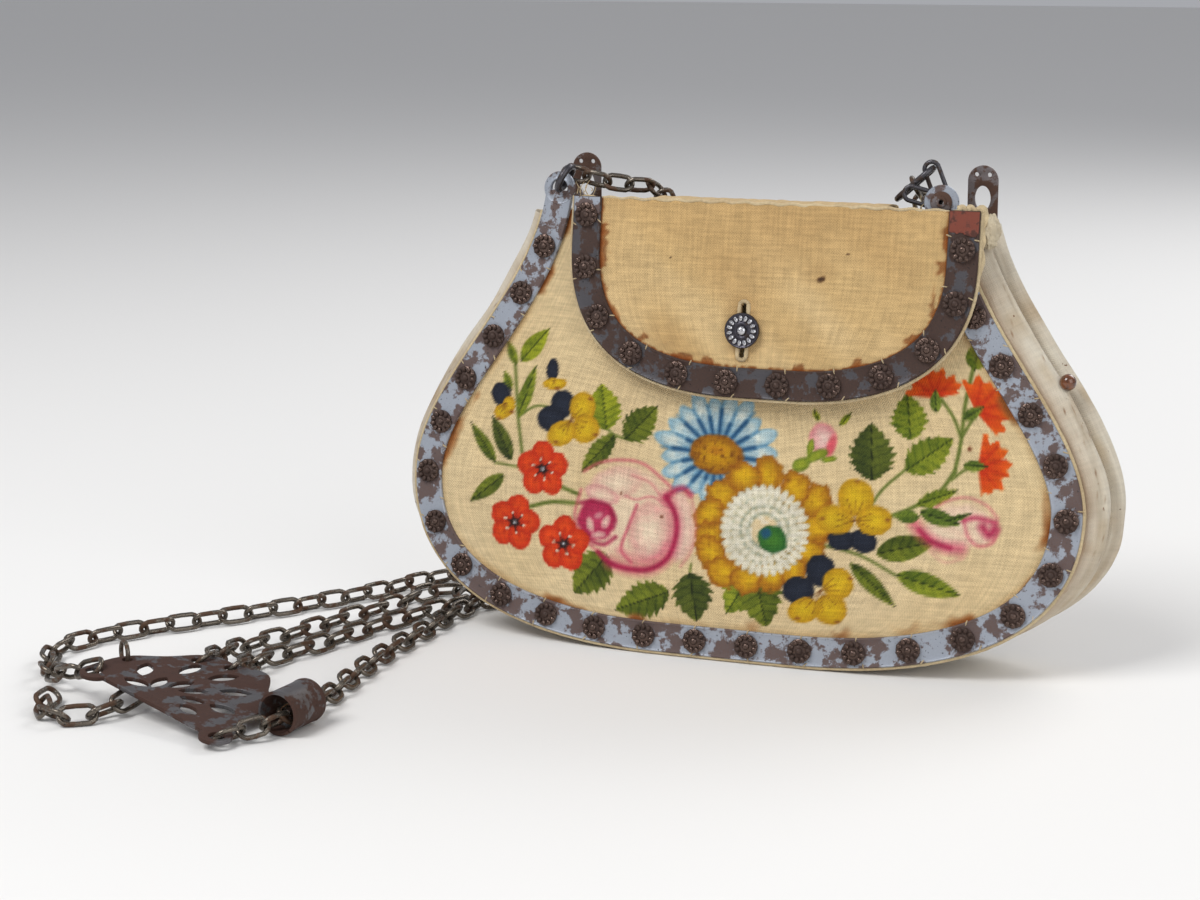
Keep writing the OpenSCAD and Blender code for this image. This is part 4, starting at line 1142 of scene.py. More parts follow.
# pale washes first, then the heart: across, up, half width, half height, turn, heart, rim, strength
rosePetals = [
    (15.6, -2.6, 5.6, 11.6, 4, (240, 218, 192), (230, 176, 160), 0.9),
    (0.0, 0.0, 16.8, 16.0, 0, (240, 217, 184), (234, 196, 168), 0.9),
    (7.0, -5.2, 7.6, 9.8, 0, (242, 220, 190), (226, 158, 150), 0.9),
    (-4.6, 8.6, 9.4, 5.4, 16, (242, 220, 190), (230, 178, 160), 0.8),
    (-10.4, -2.8, 6.8, 6.9, 0, (196, 60, 96), (170, 30, 72), 0.95),
    (-9.0, 4.8, 6.2, 3.0, -14, (240, 214, 186), (222, 150, 148), 0.9),
    (-12.4, -4.6, 1.5, 2.9, 18, (236, 200, 180), (206, 96, 118), 0.9),
    (-7.4, -3.4, 1.6, 2.7, -24, (236, 198, 180), (200, 84, 110), 0.9),
    (-9.6, -7.4, 3.0, 1.3, 8, (236, 198, 180), (202, 90, 114), 0.9),
    (-9.8, -1.6, 2.2, 1.2, 30, (222, 150, 154), (186, 56, 92), 0.9),
]
roseStrokes = [  # points, width, softness, strength, colour
    ([(-15.3, 11.4), (-10.0, 14.4), (-2.9, 15.7), (4.2, 14.8), (12.7, 8.9)], 0.9, 0.9, 0.75,
     (212, 96, 112)),
    ([(0.3, 11.4), (6.2, 9.5), (10.1, 5.2)], 0.8, 0.9, 0.55, (218, 116, 124)),
    ([(-15.9, 5.8), (-17.6, -2.2), (-15.3, -7.7), (-9.4, -12.6), (-3.6, -16.3)], 0.9, 1.0, 0.7,
     (206, 84, 106)),
    ([(2.3, 2.6), (0.0, -4.0), (-2.0, -11.0), (1.4, -14.8)], 0.9, 1.0, 0.75, (198, 60, 92)),
    ([(-1.4, 5.0), (2.0, 4.2), (7.0, 5.4), (11.6, 3.0)], 0.6, 0.8, 0.6, (206, 84, 106)),
    ([(11.4, 5.6), (14.6, 0.3), (15.0, -5.8), (12.7, -12.2), (7.5, -16.0), (1.0, -16.6), (-5.5, -15.4)],
     3.0, 3.4, 0.7, (206, 74, 104)),
    ([(11.4, 5.8), (14.7, 0.3), (15.1, -5.8), (12.8, -12.4), (7.5, -16.2), (1.0, -16.8), (-5.5, -15.6),
      (-9.4, -12.6)],
     1.4, 1.3, 0.95, (166, 26, 68)),
    ([(11.4, 5.2), (13.6, 7.6), (16.6, 8.6), (19.0, 7.0)], 1.7, 1.6, 0.85, (176, 36, 76)),
    ([(19.0, 7.0), (20.5, 2.2), (21.2, -4.0), (20.0, -10.1), (17.0, -14.6)], 0.8, 1.0, 0.5,
     (216, 118, 128)),
    ([(-2.6, -11.6), (3.6, -13.8), (9.0, -12.6), (12.0, -8.6)], 1.8, 2.4, 0.55, (214, 104, 120)),
    ([(-15.6, 1.8), (-11.6, 2.6), (-7.0, 1.6), (-4.4, -2.4)], 1.2, 1.2, 0.85, (160, 24, 66)),
    ([(-16.2, -3.4), (-13.0, -8.6), (-8.0, -10.2), (-4.0, -7.6)], 1.1, 1.2, 0.85, (172, 32, 74)),
]


def paintRose(canvas, centre, seed):
    for k, (dx, dy, wide, high, turn, heart, rim, strength) in enumerate(rosePetals):
        paintOval(canvas, (centre[0] + dx, centre[1] + dy), wide, high, heart, rim, turn, 0.2, 0.05,
                  seed + k, strength)
    for points, wide, soft, strength, colour in roseStrokes:
        line = bentLine([(centre[0] + x, centre[1] + y) for x, y in points])
        paintLine(canvas, line, wide, colour, soft, strength)


budStrokes = [  # the small rose at the right: points, width, softness, strength, colour
    ([(59.6, 48.6), (64.0, 52.0), (70.0, 53.6), (75.6, 51.8), (79.0, 48.4)], 0.8, 0.9, 0.6,
     (212, 100, 116)),
    ([(55.4, 45.0), (58.8, 41.4), (63.6, 39.2), (69.0, 38.6)], 3.0, 3.2, 0.75, (206, 72, 104)),
    ([(57.0, 43.2), (60.8, 40.2), (66.0, 38.8)], 1.3, 1.4, 0.9, (168, 28, 70)),
    ([(69.6, 46.6), (71.0, 42.4), (74.0, 40.0), (78.0, 41.2), (79.4, 45.0)], 0.9, 1.0, 0.65,
     (206, 84, 108)),
    ([(69.4, 47.0), (73.0, 48.0), (78.6, 47.0)], 1.4, 1.4, 0.8, (184, 44, 84)),
    ([(75.0, 45.4), (77.0, 43.4), (78.4, 45.2)], 2.6, 2.2, 0.85, (178, 36, 78)),
    ([(60.4, 37.2), (64.8, 34.6), (70.0, 36.0)], 0.7, 1.0, 0.4, (218, 130, 134)),
]


def paintBuds(canvas):
    paintOval(canvas, (27.4, 67.6), 4.4, 5.2, (240, 206, 192), (222, 120, 128), 16, 0.2, 0.05, 5)
    paintOval(canvas, (30.0, 65.8), 1.8, 4.6, (226, 92, 104), (222, 116, 116), -14, 0.5, 0.05, 6)
    sepals = (((25.8, 62.6), 4.2, 1.6, 28), ((23.8, 64.8), 1.2, 3.0, -10), ((21.2, 59.6), 3.0, 2.3, 30),
              ((29.6, 61.8), 2.8, 1.0, 12))
    for spot, wide, high, turn in sepals:
        paintOval(canvas, spot, wide, high, (156, 166, 48), (92, 112, 30), turn, 0.25, 0.08, 8)
    washes = (((69.0, 45.6), 10.6, 7.0, 4), ((64.6, 41.6), 8.0, 4.2, -20), ((74.6, 44.4), 4.6, 4.6, 0))
    for k, (spot, wide, high, turn) in enumerate(washes):
        paintOval(canvas, spot, wide, high, (240, 217, 186), (234, 196, 170), turn, 0.25, 0.06, 80 + k,
                  0.85)
    for points, wide, soft, strength, colour in budStrokes:
        paintLine(canvas, bentLine(points), wide, colour, soft, strength)
    paintLeaf(canvas, (56.6, 48.6), (69.0, 45.6), 5.2, (112, 132, 44), (52, 72, 24), 0, 14)
    paintLeaf(canvas, (56.8, 47.0), (49.2, 46.6), 4.4, (120, 138, 44), (54, 76, 24), 0, 15)
    paintLeaf(canvas, (65.0, 46.4), (71.6, 49.2), 2.2, (110, 132, 44), (52, 72, 24), 3, 16)


def paintFlowers(canvas):
    for points, wide in stemPlan:
        paintLine(canvas, bentLine(points), wide, (104, 118, 48), 0.6, 0.9)
    for k, (base, tip, wide, tone, teeth) in enumerate(leafPlan):
        paintLeaf(canvas, base, tip, wide, *leafTones[tone], teeth, 20 + k)
    paintDaisy(canvas, (-4.4, 60.8), 3)
    paintAster(canvas, (11.4, 39.5), 5)
    paintRose(canvas, (-30.9, 41.3), 7)
    for k, (spot, turn) in enumerate((((-59.8, 52.3), 20), ((-68.4, 35.3), 78), ((-51.8, 30.2), 88))):
        paintAnemone(canvas, spot, 8.2, turn, 30 + 7 * k)
    paintPansy(canvas, (-51.4, 67.6), [((-54.0, 72.6), 4.2, 4.3, 0), ((-57.8, 67.8), 4.8, 4.2, 10)],
               [((-47.6, 71.8), 4.4, 5.0, -20), ((-46.4, 65.4), 5.0, 4.4, 20),
                ((-54.0, 63.6), 5.2, 3.9, 30)], 51)
    paintPansy(canvas, (-73.4, 71.6), [((-74.8, 74.0), 3.5, 4.0, 20)],
               [((-72.4, 70.4), 2.3, 3.6, -20), ((-74.6, 68.6), 2.6, 2.4, 0)], 52)
    paintPansy(canvas, (-57.6, 79.4), [((-58.0, 82.4), 2.1, 3.8, -8)], [((-57.0, 78.4), 4.2, 1.9, 6)], 53)
    paintPansy(canvas, (37.8, 44.4), [((34.4, 38.6), 4.2, 3.4, 10), ((40.8, 38.8), 4.4, 3.6, -16)],
               [((38.0, 51.2), 5.6, 5.8, 0), ((32.2, 44.4), 5.8, 4.4, -8), ((43.8, 45.0), 5.6, 4.6, 8)], 54)
    paintPansy(canvas, (29.0, 23.2), [((28.8, 29.2), 4.8, 5.0, 0), ((22.6, 22.8), 5.2, 4.4, 10)],
               [((34.2, 25.8), 4.8, 5.0, -20), ((32.4, 18.0), 5.2, 4.8, 0), ((24.6, 17.2), 5.2, 3.8, 20)],
               55)
    carnations = (((71.2, 78.4), 36, 10.6), ((72.8, 62.8), 2, 9.9), ((59.4, 81.6), 96, 9.0))
    for k, (spot, aim, size) in enumerate(carnations):
        paintCarnation(canvas, spot, aim, size, 60 + k)
        t = math.radians(aim)
        base = (spot[0] - 4.4 * math.cos(t), spot[1] - 4.4 * math.sin(t))
        tip = (spot[0] + 2.6 * math.cos(t), spot[1] + 2.6 * math.sin(t))
        paintLeaf(canvas, base, tip, 3.8, (126, 142, 48), (62, 84, 28), 0, 70 + k)
    paintBuds(canvas)


def layPaint(piece, colour):
    layer = piece.data.color_attributes.new("paint", "FLOAT_COLOR", "POINT")
    rgba = np.ones((len(piece.data.vertices), 4))
    rgba[:, :3] = screenToLinear(colour)
    layer.data.foreach_set("color", rgba.ravel())


def awayFrom(line, u, v):  # distance from an outline, in mm
    away = np.full(len(u), 1e9)
    spot = np.column_stack([u, v])
    for a, b in zip(line[:-1], line[1:]):
        d = b - a
        t = np.clip(((spot - a) @ d) / (d @ d), 0, 1)
        away = np.minimum(away, np.linalg.norm(spot - a - t[:, None] * d, axis=1))
    return away


def closeBehind(piece, way):  # a rim and upright strips behind a bowed sheet make it a closed solid
    editAll(piece)
    bpy.ops.mesh.select_all(action="DESELECT")
    bpy.ops.mesh.select_non_manifold()
    bpy.ops.mesh.extrude_edges_move(TRANSFORM_OT_translate={"value": way})
    bpy.ops.mesh.edge_face_add()
    for x in np.arange(*panelSet["strips"]):
        bpy.ops.mesh.bisect(plane_co=(x * mm, 0, 0), plane_no=(1, 0, 0))
        bpy.ops.mesh.select_mode(type="FACE")
        bpy.ops.mesh.select_all(action="DESELECT")
        bpy.ops.mesh.select_face_by_sides(number=4, type="GREATER")
    bpy.ops.mesh.select_mode(type="VERT")
    bpy.ops.object.mode_set(mode="OBJECT")
    outward(piece)


panelSet = {"columns": 330, "rows": 214, "inset": 2.0, "ripple": 0.5, "ground": (228, 203, 156),
            "pale": (238, 219, 180), "rust": (150, 88, 40), "behind": 0.62, "strips": (-96, 112, 8.0)}


def makeFrontPanel():
    spots = {}

    def place(s, t):
        u, v = frontSpread(s, t, panelSet["inset"])
        spots["u"], spots["v"] = u, v
        swell = valueNoise(u, v, 26.0, 4) + 0.4 * valueNoise(u, v, 11.0, 5) - 0.7
        return frontPoint(u, v, -0.12 + panelSet["ripple"] * np.minimum(swell, 0.2))

    panel = newGrid("frontPanel", panelSet["columns"], panelSet["rows"], place, (2 * wide, mouthTop))
    u, v = spots["u"], spots["v"]
    canvas = newCanvas(u, v, panelSet["ground"])
    dab(canvas, (valueNoise(u, v, 22.0, 1) - 0.3) * 0.6, panelSet["pale"])
    dab(canvas, (valueNoise(u, v, 9.0, 2) - 0.55) * 0.3, (208, 176, 126))
    paintFlowers(canvas)
    rim = awayFrom(edgeLine(panelCurves, bag["bareEdge"] + bag["bandWidth"], 16), u, v)
    dab(canvas, (1 - rim / 2.2) * 0.55 * valueNoise(u, v, 7.0, 11), (196, 150, 92))
    patch = np.clip((valueNoise(u, v, 9.0, 12) - 0.66) * 6, 0, 1)
    dab(canvas, patch * np.clip(1.25 - rim / (1.2 + 2.2 * valueNoise(u, v, 2.5, 13)), 0, 1),
        panelSet["rust"])
    for spot, size in (((70.0, 67.6), 1.0), ((-20.6, 41.0), 0.6), ((-34.0, 47.0), 0.5)):
        paintOval(canvas, spot, size, size, (104, 50, 30), (128, 70, 40), 0, 0.6, 0.1, 3)
    worn = 0.95 + 0.07 * valueNoise(u * 0.35, v, 0.9, 21) + 0.04 * valueNoise(u, v, 0.8, 23)
    layPaint(panel, canvas["colour"] * worn[:, None])
    closeBehind(panel, Vector((0, math.cos(frontLean), -math.sin(frontLean))) * panelSet["behind"] * mm)
    return settle(panel, "bag", ("front_panel",), looks["paintedCloth"], 60)


frontPanel = makeFrontPanel()
print("front panel painted")

# pale and deep are the colours of the painted light and shade on the flap's soft folds; deep also darkens
# the top
flapSet = {"columns": 210, "rows": 100, "inset": 1.6, "ripple": 1.1, "ground": (214, 181, 126),
           "pale": (228, 199, 148),
           "deep": (188, 148, 94), "rust": (142, 74, 28), "button": (3.2, 97.8), "slit": (2.8, 17.0)}


def flapRipple(u, v):  # the flap's cloth and its lining wave together
    swell = valueNoise(u * 0.5 + v * 1.1, (u - v) * 0.3, 13.0, 6) + 0.3 * valueNoise(u, v, 9.0, 7) - 0.65
    edge = np.clip(awayFrom(edgeLine(flapCurves, 8, 12, bag["flapShift"]), u, v) / 10, 0, 1)
    return flapSet["ripple"] * np.minimum(swell, 0.3) * edge


def cutAway(piece, u, v, half, run):  # opens a round-ended hole about the button
    x, y = u - flapSet["button"][0], v - flapSet["button"][1]
    cut = np.hypot(x, y - np.clip(y, -run, run)) < half
    pickFaces(piece, lambda face: all(cut[k] for k in face.vertices))
    bpy.ops.mesh.delete(type="FACE")
    bpy.ops.object.mode_set(mode="OBJECT")


def makeFlap():
    top, spots = ft - 0.4, {}

    def place(s, t):
        u, h = flapSpread(s, t, flapSet["inset"], top)
        spots["u"], spots["v"] = u, h
        return frontPoint(u, h, flapOuter - 0.15 + flapRipple(u, h))

    cloth = newGrid("flapCloth", flapSet["columns"], flapSet["rows"], place, (2 * fw, top - fl))
    u, v = spots["u"], spots["v"]
    canvas = newCanvas(u, v, flapSet["ground"])
    # painted light and shade: diagonal pale and deep streaks stand in for the light and shade on soft folds
    paintedFoldLight = valueNoise((u + v) * 0.7, (u - v) * 0.25, 9.0, 14)
    dab(canvas, (paintedFoldLight - 0.35) * 1.1, flapSet["pale"])
    dab(canvas, (valueNoise((u + v) * 0.6, (v - u) * 0.3, 11.0, 15) - 0.5) * 0.9, flapSet["deep"])
    # darker towards the top of the flap
    dab(canvas, (v - 112) / 40 * 0.5, flapSet["deep"])
    rim = awayFrom(edgeLine(flapCurves, bag["bareEdge"] + bag["bandWidth"], 16, bag["flapShift"]), u, v)
    blotch = np.clip((valueNoise(u, v, 3.4, 16) - 0.5) * 5, 0, 1)
    blotch = blotch * np.clip(valueNoise(u, v, 17.0, 18) * 2.6 - 0.6, 0, 1)
    reach = 0.2 + 1.7 * blotch * (0.5 + valueNoise(u, v, 1.5, 19)) + 0.7 * valueNoise(u, v, 1.2, 17) ** 2
    dab(canvas, (1.3 - rim / reach) * 0.85, flapSet["rust"])
    dab(canvas, np.exp(-((rim - 0.8 * reach) / 0.4) ** 2) * blotch * 0.45, (92, 48, 22))
    for spot, w, h in (((25.6, 113.8), 1.5, 1.0), ((33.2, 121.4), 0.6, 0.4), ((-20, 118.0), 0.4, 0.4)):
        paintOval(canvas, spot, w, h, (44, 28, 20), (112, 74, 42), 20, 0.4, 0.2, 5)
    halo = np.hypot((u - 24.6) / 6.5, (v - 115.0) / 5.5)
    dab(canvas, (1.0 - halo) * 0.35, (150, 116, 74))
    near = np.hypot((u - flapSet["button"][0]) / 7.0, (v - flapSet["button"][1]) / 11.0)
    dab(canvas, (1.1 - near) * 0.5, (164, 122, 74))
    worn = 0.95 + 0.08 * valueNoise(u * 0.3, v, 0.9, 22) + 0.04 * valueNoise(u, v, 0.8, 24)
    layPaint(cloth, canvas["colour"] * worn[:, None])
    run = flapSet["slit"][1] / 2 - flapSet["slit"][0] / 2
    cutAway(cloth, u, v, flapSet["slit"][0] / 2 - 0.2, run)
    applyModifier(cloth, "SOLIDIFY", thickness=bag["cloth"] * 0.85 * mm, offset=-1)
    outward(cloth)
    return settle(cloth, "flap", ("flap_cloth", "buttonhole_lips"), looks["tanCloth"], 60)


flapCloth = makeFlap()
hingeY = onePoint(backPoint(-bag["backShift"], backTop, -bag["cloth"] / 2))[1]
hingeZ = onePoint(backPoint(-bag["backShift"], backTop, 0.0))[2] + bag["softGap"] + bag["hem"]


def makeBridge():  # the cloth strip from the flap over the mouth to the roll on the hinge line
    a = np.linspace(0, 5.2, 14)
    roll = np.column_stack([hingeY + bag["hem"] * np.sin(a), hingeZ + bag["hem"] * np.cos(a)])
    middle, steps = bag["flapShift"] - 2, 30

    def place(s, t):
        x = middle + (2 * s - 1) * bag["bridgeHalf"]
        start = frontPoint(x, np.full(len(x), ft - 1.0), flapInner + 0.45)[:, 1:] / mm
        k = np.rint(t * (steps + 13)).astype(int)
        share = np.clip(k / steps, 0, 1)[:, None]
        crown = np.array([hingeY, hingeZ + bag["hem"]])
        flat = start + (crown - start) * share + np.array([0, 1.0]) * np.sin(np.pi * share) ** 0.7 * 0.9
        ends = roll[np.clip(k - steps, 0, 13)]
        side = np.where((k <= steps)[:, None], flat, ends)
        pucker = 0.5 * (valueNoise(x * 2.2, t * 3.0, 4.0, 8) - 0.5) * np.sin(np.pi * share[:, 0])
        return np.column_stack([x, side[:, 0], side[:, 1] + pucker]) * mm

    bridge = newGrid("flapBridge", 120, steps + 13, place, (2 * bag["bridgeHalf"], 30))
    layPaint(bridge, np.tile(np.array((208, 178, 128), float), (len(bridge.data.vertices), 1)))
    applyModifier(bridge, "SOLIDIFY", thickness=0.55 * mm, offset=0)
    outward(bridge)
    return settle(bridge, "flap", (), looks["tanCloth"], 60)


def makeFlapHem():
    u = np.linspace(-fw + 0.6, fw - 0.6, 90) + bag["flapShift"]
    v = ft - 0.3 + 0.25 * np.sin(u * 0.9)
    hem = tubeAlong("flapHem", frontPoint(u, v, flapInner + 0.5 + 0.1 * np.sin(u * 1.7)), 0.5 * mm, 8)
    return settle(hem, "flap", (), looks["edgeThread"], 60)


def makeButtonhole():
    w, h = flapSet["slit"][0] / 2, flapSet["slit"][1] / 2
    a = np.radians(np.linspace(0, 360, 64, endpoint=False))
    x = w * np.cos(a)
    y = np.sign(np.sin(a)) * (h - w) * np.minimum(1, np.abs(np.sin(a)) * 3) + w * np.sin(a)
    u, v = x + flapSet["button"][0], y + flapSet["button"][1]
    line = frontPoint(u, v, flapOuter + 0.05)
    fat = 0.62 * mm * (1 + 0.12 * np.sin(np.arange(65) * 2.4))
    lip = tubeAlong("buttonholeLip", np.vstack([line, line[:1]]), fat, 8)
    return settle(lip, "flap", (), looks["edgeThread"], 60)


flapBridge, flapHem, buttonholeLip = makeBridge(), makeFlapHem(), makeButtonhole()
print("flap sewn")

# shade is the colour of the painted shade in the crease and the wrinkle dips
gussetSet = {"columns": 300, "rows": 60, "wrinkle": 0.9, "swell": 1.2, "crease": 2.2,
             "clean": (226, 218, 200), "shade": (150, 132, 106), "seamDarkAndStain": (120, 78, 46)}


def gussetFolds(v, q, u):  # two long folds with a crease between them, and wrinkles along them
    share = np.clip((v - 8) / 34, 0, 1)
    share = share * share * (3 - 2 * share)
    wander = q + 0.035 * np.sin(v * 0.055) * np.sin(np.pi * q)
    swell = gussetSet["swell"] * bag["foldOut"] * np.abs(np.sin(2 * np.pi * wander)) ** 1.3
    crease = gussetSet["crease"] * np.exp(-((wander - 0.5) / 0.07) ** 2)
    small = valueNoise(q * 14, v * 0.07 + u * 0.01, 1.0, 9) - 0.75
    small = small + 0.5 * valueNoise(q * 26, v * 0.15 + u * 0.05, 1.0, 10)
    out = share * (swell - crease + gussetSet["wrinkle"] * small * np.sin(np.pi * q))
    return out, crease * share, small


def makeGusset():
    line = edgeLine(panelCurves, 0.0, 60)
    line = line[line[:, 1] <= backTop]
    run = runLength(line)
    even = pointsAlong(line, np.linspace(0, run[-1], 2001))
    way = np.gradient(even, axis=0)
    way /= np.linalg.norm(way, axis=1)[:, None]
    seen = {}

    def place(s, q):
        i = np.rint(s * 2000).astype(int)
        u, v = even[i, 0], even[i, 1]
        near, far = frontPoint(u, v, -bag["cloth"]), backPoint(u, v, -bag["cloth"])
        out, crease, small = gussetFolds(v, q, u)
        seen.update(crease=crease, small=small, u=u, v=v, q=q)
        normal = np.column_stack([way[i, 1], np.zeros(len(u)), -way[i, 0]])
        return near + (far - near) * q[:, None] + normal * (out * mm)[:, None]

    gusset = newGrid("gusset", gussetSet["columns"], gussetSet["rows"], place, (run[-1], bag["depth"]))
    canvas = newCanvas(seen["u"], seen["v"], gussetSet["clean"])
    # painted shade: darker in the crease between the folds and in the dips of the wrinkles
    dab(canvas, seen["crease"] * 0.5, gussetSet["shade"])
    dab(canvas, np.clip(-seen["small"], 0, 1) * 0.55, gussetSet["shade"])
    dab(canvas, (valueNoise(seen["q"] * 40, seen["v"] + seen["u"] * 0.3, 6.0, 33) - 0.6) * 1.1,
        (186, 160, 122))
    # darker along the front seam of the gusset
    dab(canvas, np.exp(-seen["q"] / 0.05) * 0.45, gussetSet["seamDarkAndStain"])
    dab(canvas, (valueNoise(seen["q"] * 40, seen["v"], 1.2, 34) - 0.88) * 9 * (seen["q"] < 0.5),
        gussetSet["seamDarkAndStain"])
    layPaint(gusset, canvas["colour"])
    applyModifier(gusset, "SOLIDIFY", thickness=bag["gusset"] * mm, offset=1)
    outward(gusset)
    return settle(gusset, "bag", ("gusset",), looks["gussetCloth"], 60)


gusset = makeGusset()


def makeBackPanel():
    def place(s, t):
        u, h = backSpread(s, t, panelSet["inset"], backTop)
        swell = valueNoise(u, h, 24.0, 31) + 0.4 * valueNoise(u, h, 9.0, 32) - 0.7
        return backPoint(u, h, -0.12 + panelSet["ripple"] * np.minimum(swell, 0.2))

    panel = newGrid("backPanel", 150, 100, place, (2 * wide, backTop))
    closeBehind(panel, Vector((0, -math.cos(backLean), -math.sin(backLean))) * panelSet["behind"] * mm)
    return settle(panel, "bag", ("back_panel",), looks["backCloth"], 60)


backPanel = makeBackPanel()


def makeEdging(name, body, curves, point, level, top, shift=0.0):
    line = edgeLine(curves, 0.45, 60, shift)
    line = line[line[:, 1] <= top]
    fray = 0.62 * (1 + 0.25 * (valueNoise(line[:, 0], line[:, 1], 1.6, 18) - 0.5))
    edging = tubeAlong(name, point(line[:, 0], line[:, 1], level), fray * mm, 8)
    return settle(edging, body, (), looks["edgeThread"], 60)


frontEdging = makeEdging("frontEdging", "bag", panelCurves, frontPoint, -0.15, tall - 5)
backEdging = makeEdging("backEdging", "bag", panelCurves, backPoint, -0.15, backTop)
flapEdging = makeEdging("flapEdging", "flap", flapCurves, frontPoint, flapInner + 0.75, ft,
                        bag["flapShift"])
print("panels, gusset and edgings in place")


def turnedPiece(name, profile, seat, sides=40):  # a lathe shape from (radius, height) in mm
    outline = np.array(profile, float)

    def place(s, t):
        j = np.rint(t * (len(outline) - 1)).astype(int)
        a = 2 * np.pi * s
        return np.column_stack([outline[j, 0] * np.cos(a), outline[j, 0] * np.sin(a), outline[j, 1]]) * mm

    piece = newGrid(name, sides, len(outline) - 1, place, (30, 10), wrapped=True)
    piece.data.transform(seat)
    outward(piece)
    return piece


# the button: rim, ring of cut studs, inner ring and centre stud
buttonSet = {"radius": 5.2, "studs": 15, "rise": 0.5}


def makeButton():
    r = buttonSet["radius"]
    seat = frontSeat(*flapSet["button"], flapOuter + buttonSet["rise"])
    profile = [(0.75, 0), (r - 0.2, 0), (r, 0.15), (r, 0.9), (0.985 * r, 1.15), (0.95 * r, 1.3),
               (0.9 * r, 1.25),
               (0.86 * r, 1.05), (0.84 * r, 1.0), (0.56 * r, 1.05), (0.5 * r, 1.15), (0.46 * r, 1.45),
               (0.42 * r, 1.52),
               (0.36 * r, 1.5), (0.31 * r, 1.25), (0.28 * r, 1.15), (0.75, 1.15), (0.75, 0)]
    head = settle(turnedPiece("buttonHead", profile, seat, 72), "bag", ("button_head",),
                  looks["buttonSteel"], 50)
    bpy.ops.object.select_all(action="DESELECT")
    bpy.ops.mesh.primitive_uv_sphere_add(segments=8, ring_count=6, radius=0.66 * mm)
    stud = bpy.context.object
    stud.data.transform(Matrix.Diagonal((1.45, 0.98, 0.9, 1)))
    places = []
    for i in range(buttonSet["studs"]):
        a = 2 * math.pi * i / buttonSet["studs"]
        at = Vector((0.7 * r * math.cos(a), 0.7 * r * math.sin(a), 1.18)) * mm
        places.append(seat @ Matrix.Translation(at) @ Matrix.Rotation(a, 4, "Z"))
    studs = settle(stamped("buttonStuds", stud, places), "bag", ("button_studs",), looks["cutSteel"],
                   20)
    base = frontSeat(*flapSet["button"], 0)
    top = flapOuter + buttonSet["rise"]
    shape = [(0, -1.8), (1.7, -1.8), (1.7, -1.2), (0.72, -1.15), (0.72, top + 1.2), (1.1, top + 1.3),
             (1.2, top + 1.55), (0.95, top + 1.85), (0.5, top + 2.05), (0, top + 2.1)]
    shank = settle(turnedPiece("buttonShank", shape, base, 32), "bag", ("button_shank",), looks["cutSteel"],
                   40)
    return head, studs, shank


buttonHead, buttonStuds, buttonShank = makeButton()

# corner fittings
cornerSet = {"eyelet": 5.0, "hole": 2.6, "postHole": 1.3, "wire": 1.3, "post": 2.4, "gap": 0.2,
             "loops": ((67, 5.4, 15.8), (14, 1.9, 14.7))}  # turn, place along the post, length


def makeEyelets():
    rise = bag["bandThick"]
    made = []
    for side, name in ((-1, "leftEyelet"), (1, "rightEyelet")):
        hole = cornerSet["hole"] if side < 0 else cornerSet["postHole"]
        r = cornerSet["eyelet"]
        profile = [(hole, 0.02), (r - 0.1, 0.02), (r, 0.15), (r, rise - 0.1), (r - 0.25, rise + 0.12),
                   (r - 0.6, rise),
                   (hole + 0.7, rise - 0.02), (hole + 0.3, rise + 0.22), (hole, rise - 0.05), (hole, 0.02)]
        seat = frontSeat(side * hornMid, bag["eyeletHeight"], 0)
        made.append(settle(turnedPiece(name, profile, seat, 56), "bag", (), looks["paleSteel"],
                           50))
    return made


def makeCornerFittings():
    rim = cornerSet["wire"]
    seat = frontSeat(hornMid, bag["eyeletHeight"], bag["bandThick"])
    foot = -ringSet["postLong"]
    profile = [(0.7, foot), (1.9, foot), (1.9, foot + 0.7), (1.2, foot + 0.7), (1.2, 0), (2.9, 0),
               (3.1, 0.12),
               (3.1, 0.42), (2.8, 0.55), (1.6, 0.6), (1.45, 0.95), (1.1, 1.05), (0.75, 0.9), (0.7, 0.5),
               (0.7, foot)]
    post = settle(turnedPiece("rightPost", profile, seat, 48), "bag", ("right_post",), looks["earSteel"],
                  45)
    loops = []
    for turn, back, long in cornerSet["loops"]:
        link = ovalLink("cornerLoop", long, cornerSet["post"] + 2 * rim + 0.5, rim, 40, 10)
        away = cornerSet["post"] / 2 + cornerSet["gap"] + rim - long / 2
        place = seat @ Matrix.Translation(Vector((0, 0, -back)) * mm)
        place = place @ Matrix.Rotation(math.radians(-turn), 4, "Z")
        place = place @ Matrix.Translation(Vector((away, 0, 0)) * mm)
        link.data.transform(place @ Matrix.Rotation(math.pi / 2, 4, "X"))
        loops.append(link)
    loops = settle(joinAll("cornerLoops", loops), "bag", ("corner_loops",), looks["ringSteel"],
                   60)
    ring = ovalLink("cornerRing", ringSet["cornerLong"], ringSet["cornerWide"], ringSet["cornerWire"], 48,
                    12)
    tilt = Matrix.Rotation(math.radians(-ringSet["cornerTurn"]), 4, "Y")
    tilt = tilt @ Matrix.Rotation(math.pi / 2, 4, "X")
    ring.data.transform(Matrix.Translation(Vector(ringMid) * mm) @ tilt)
    settle(ring, "bag", ("corner_ring",), looks["ringSteel"], 60)
    bpy.ops.object.select_all(action="DESELECT")
    bpy.ops.mesh.primitive_torus_add(major_radius=ringSet["leftRadius"] * mm,
                                     minor_radius=ringSet["leftWire"] / 2 * mm,
                                     major_segments=48, minor_segments=14)
    left = bpy.context.object
    left.name = "leftRing"
    turn = Matrix.Rotation(math.radians(ringSet["leftTurn"]), 4, "Y")
    turn = turn @ Matrix.Translation(Vector((ringSet["leftHang"], 0, 0)) * mm)
    left.data.transform(Matrix.Translation(Vector(leftEye) * mm) @ turn)
    settle(left, "bag", ("left_ring",), looks["ringSteel"], 60)
    return post, loops, ring, left


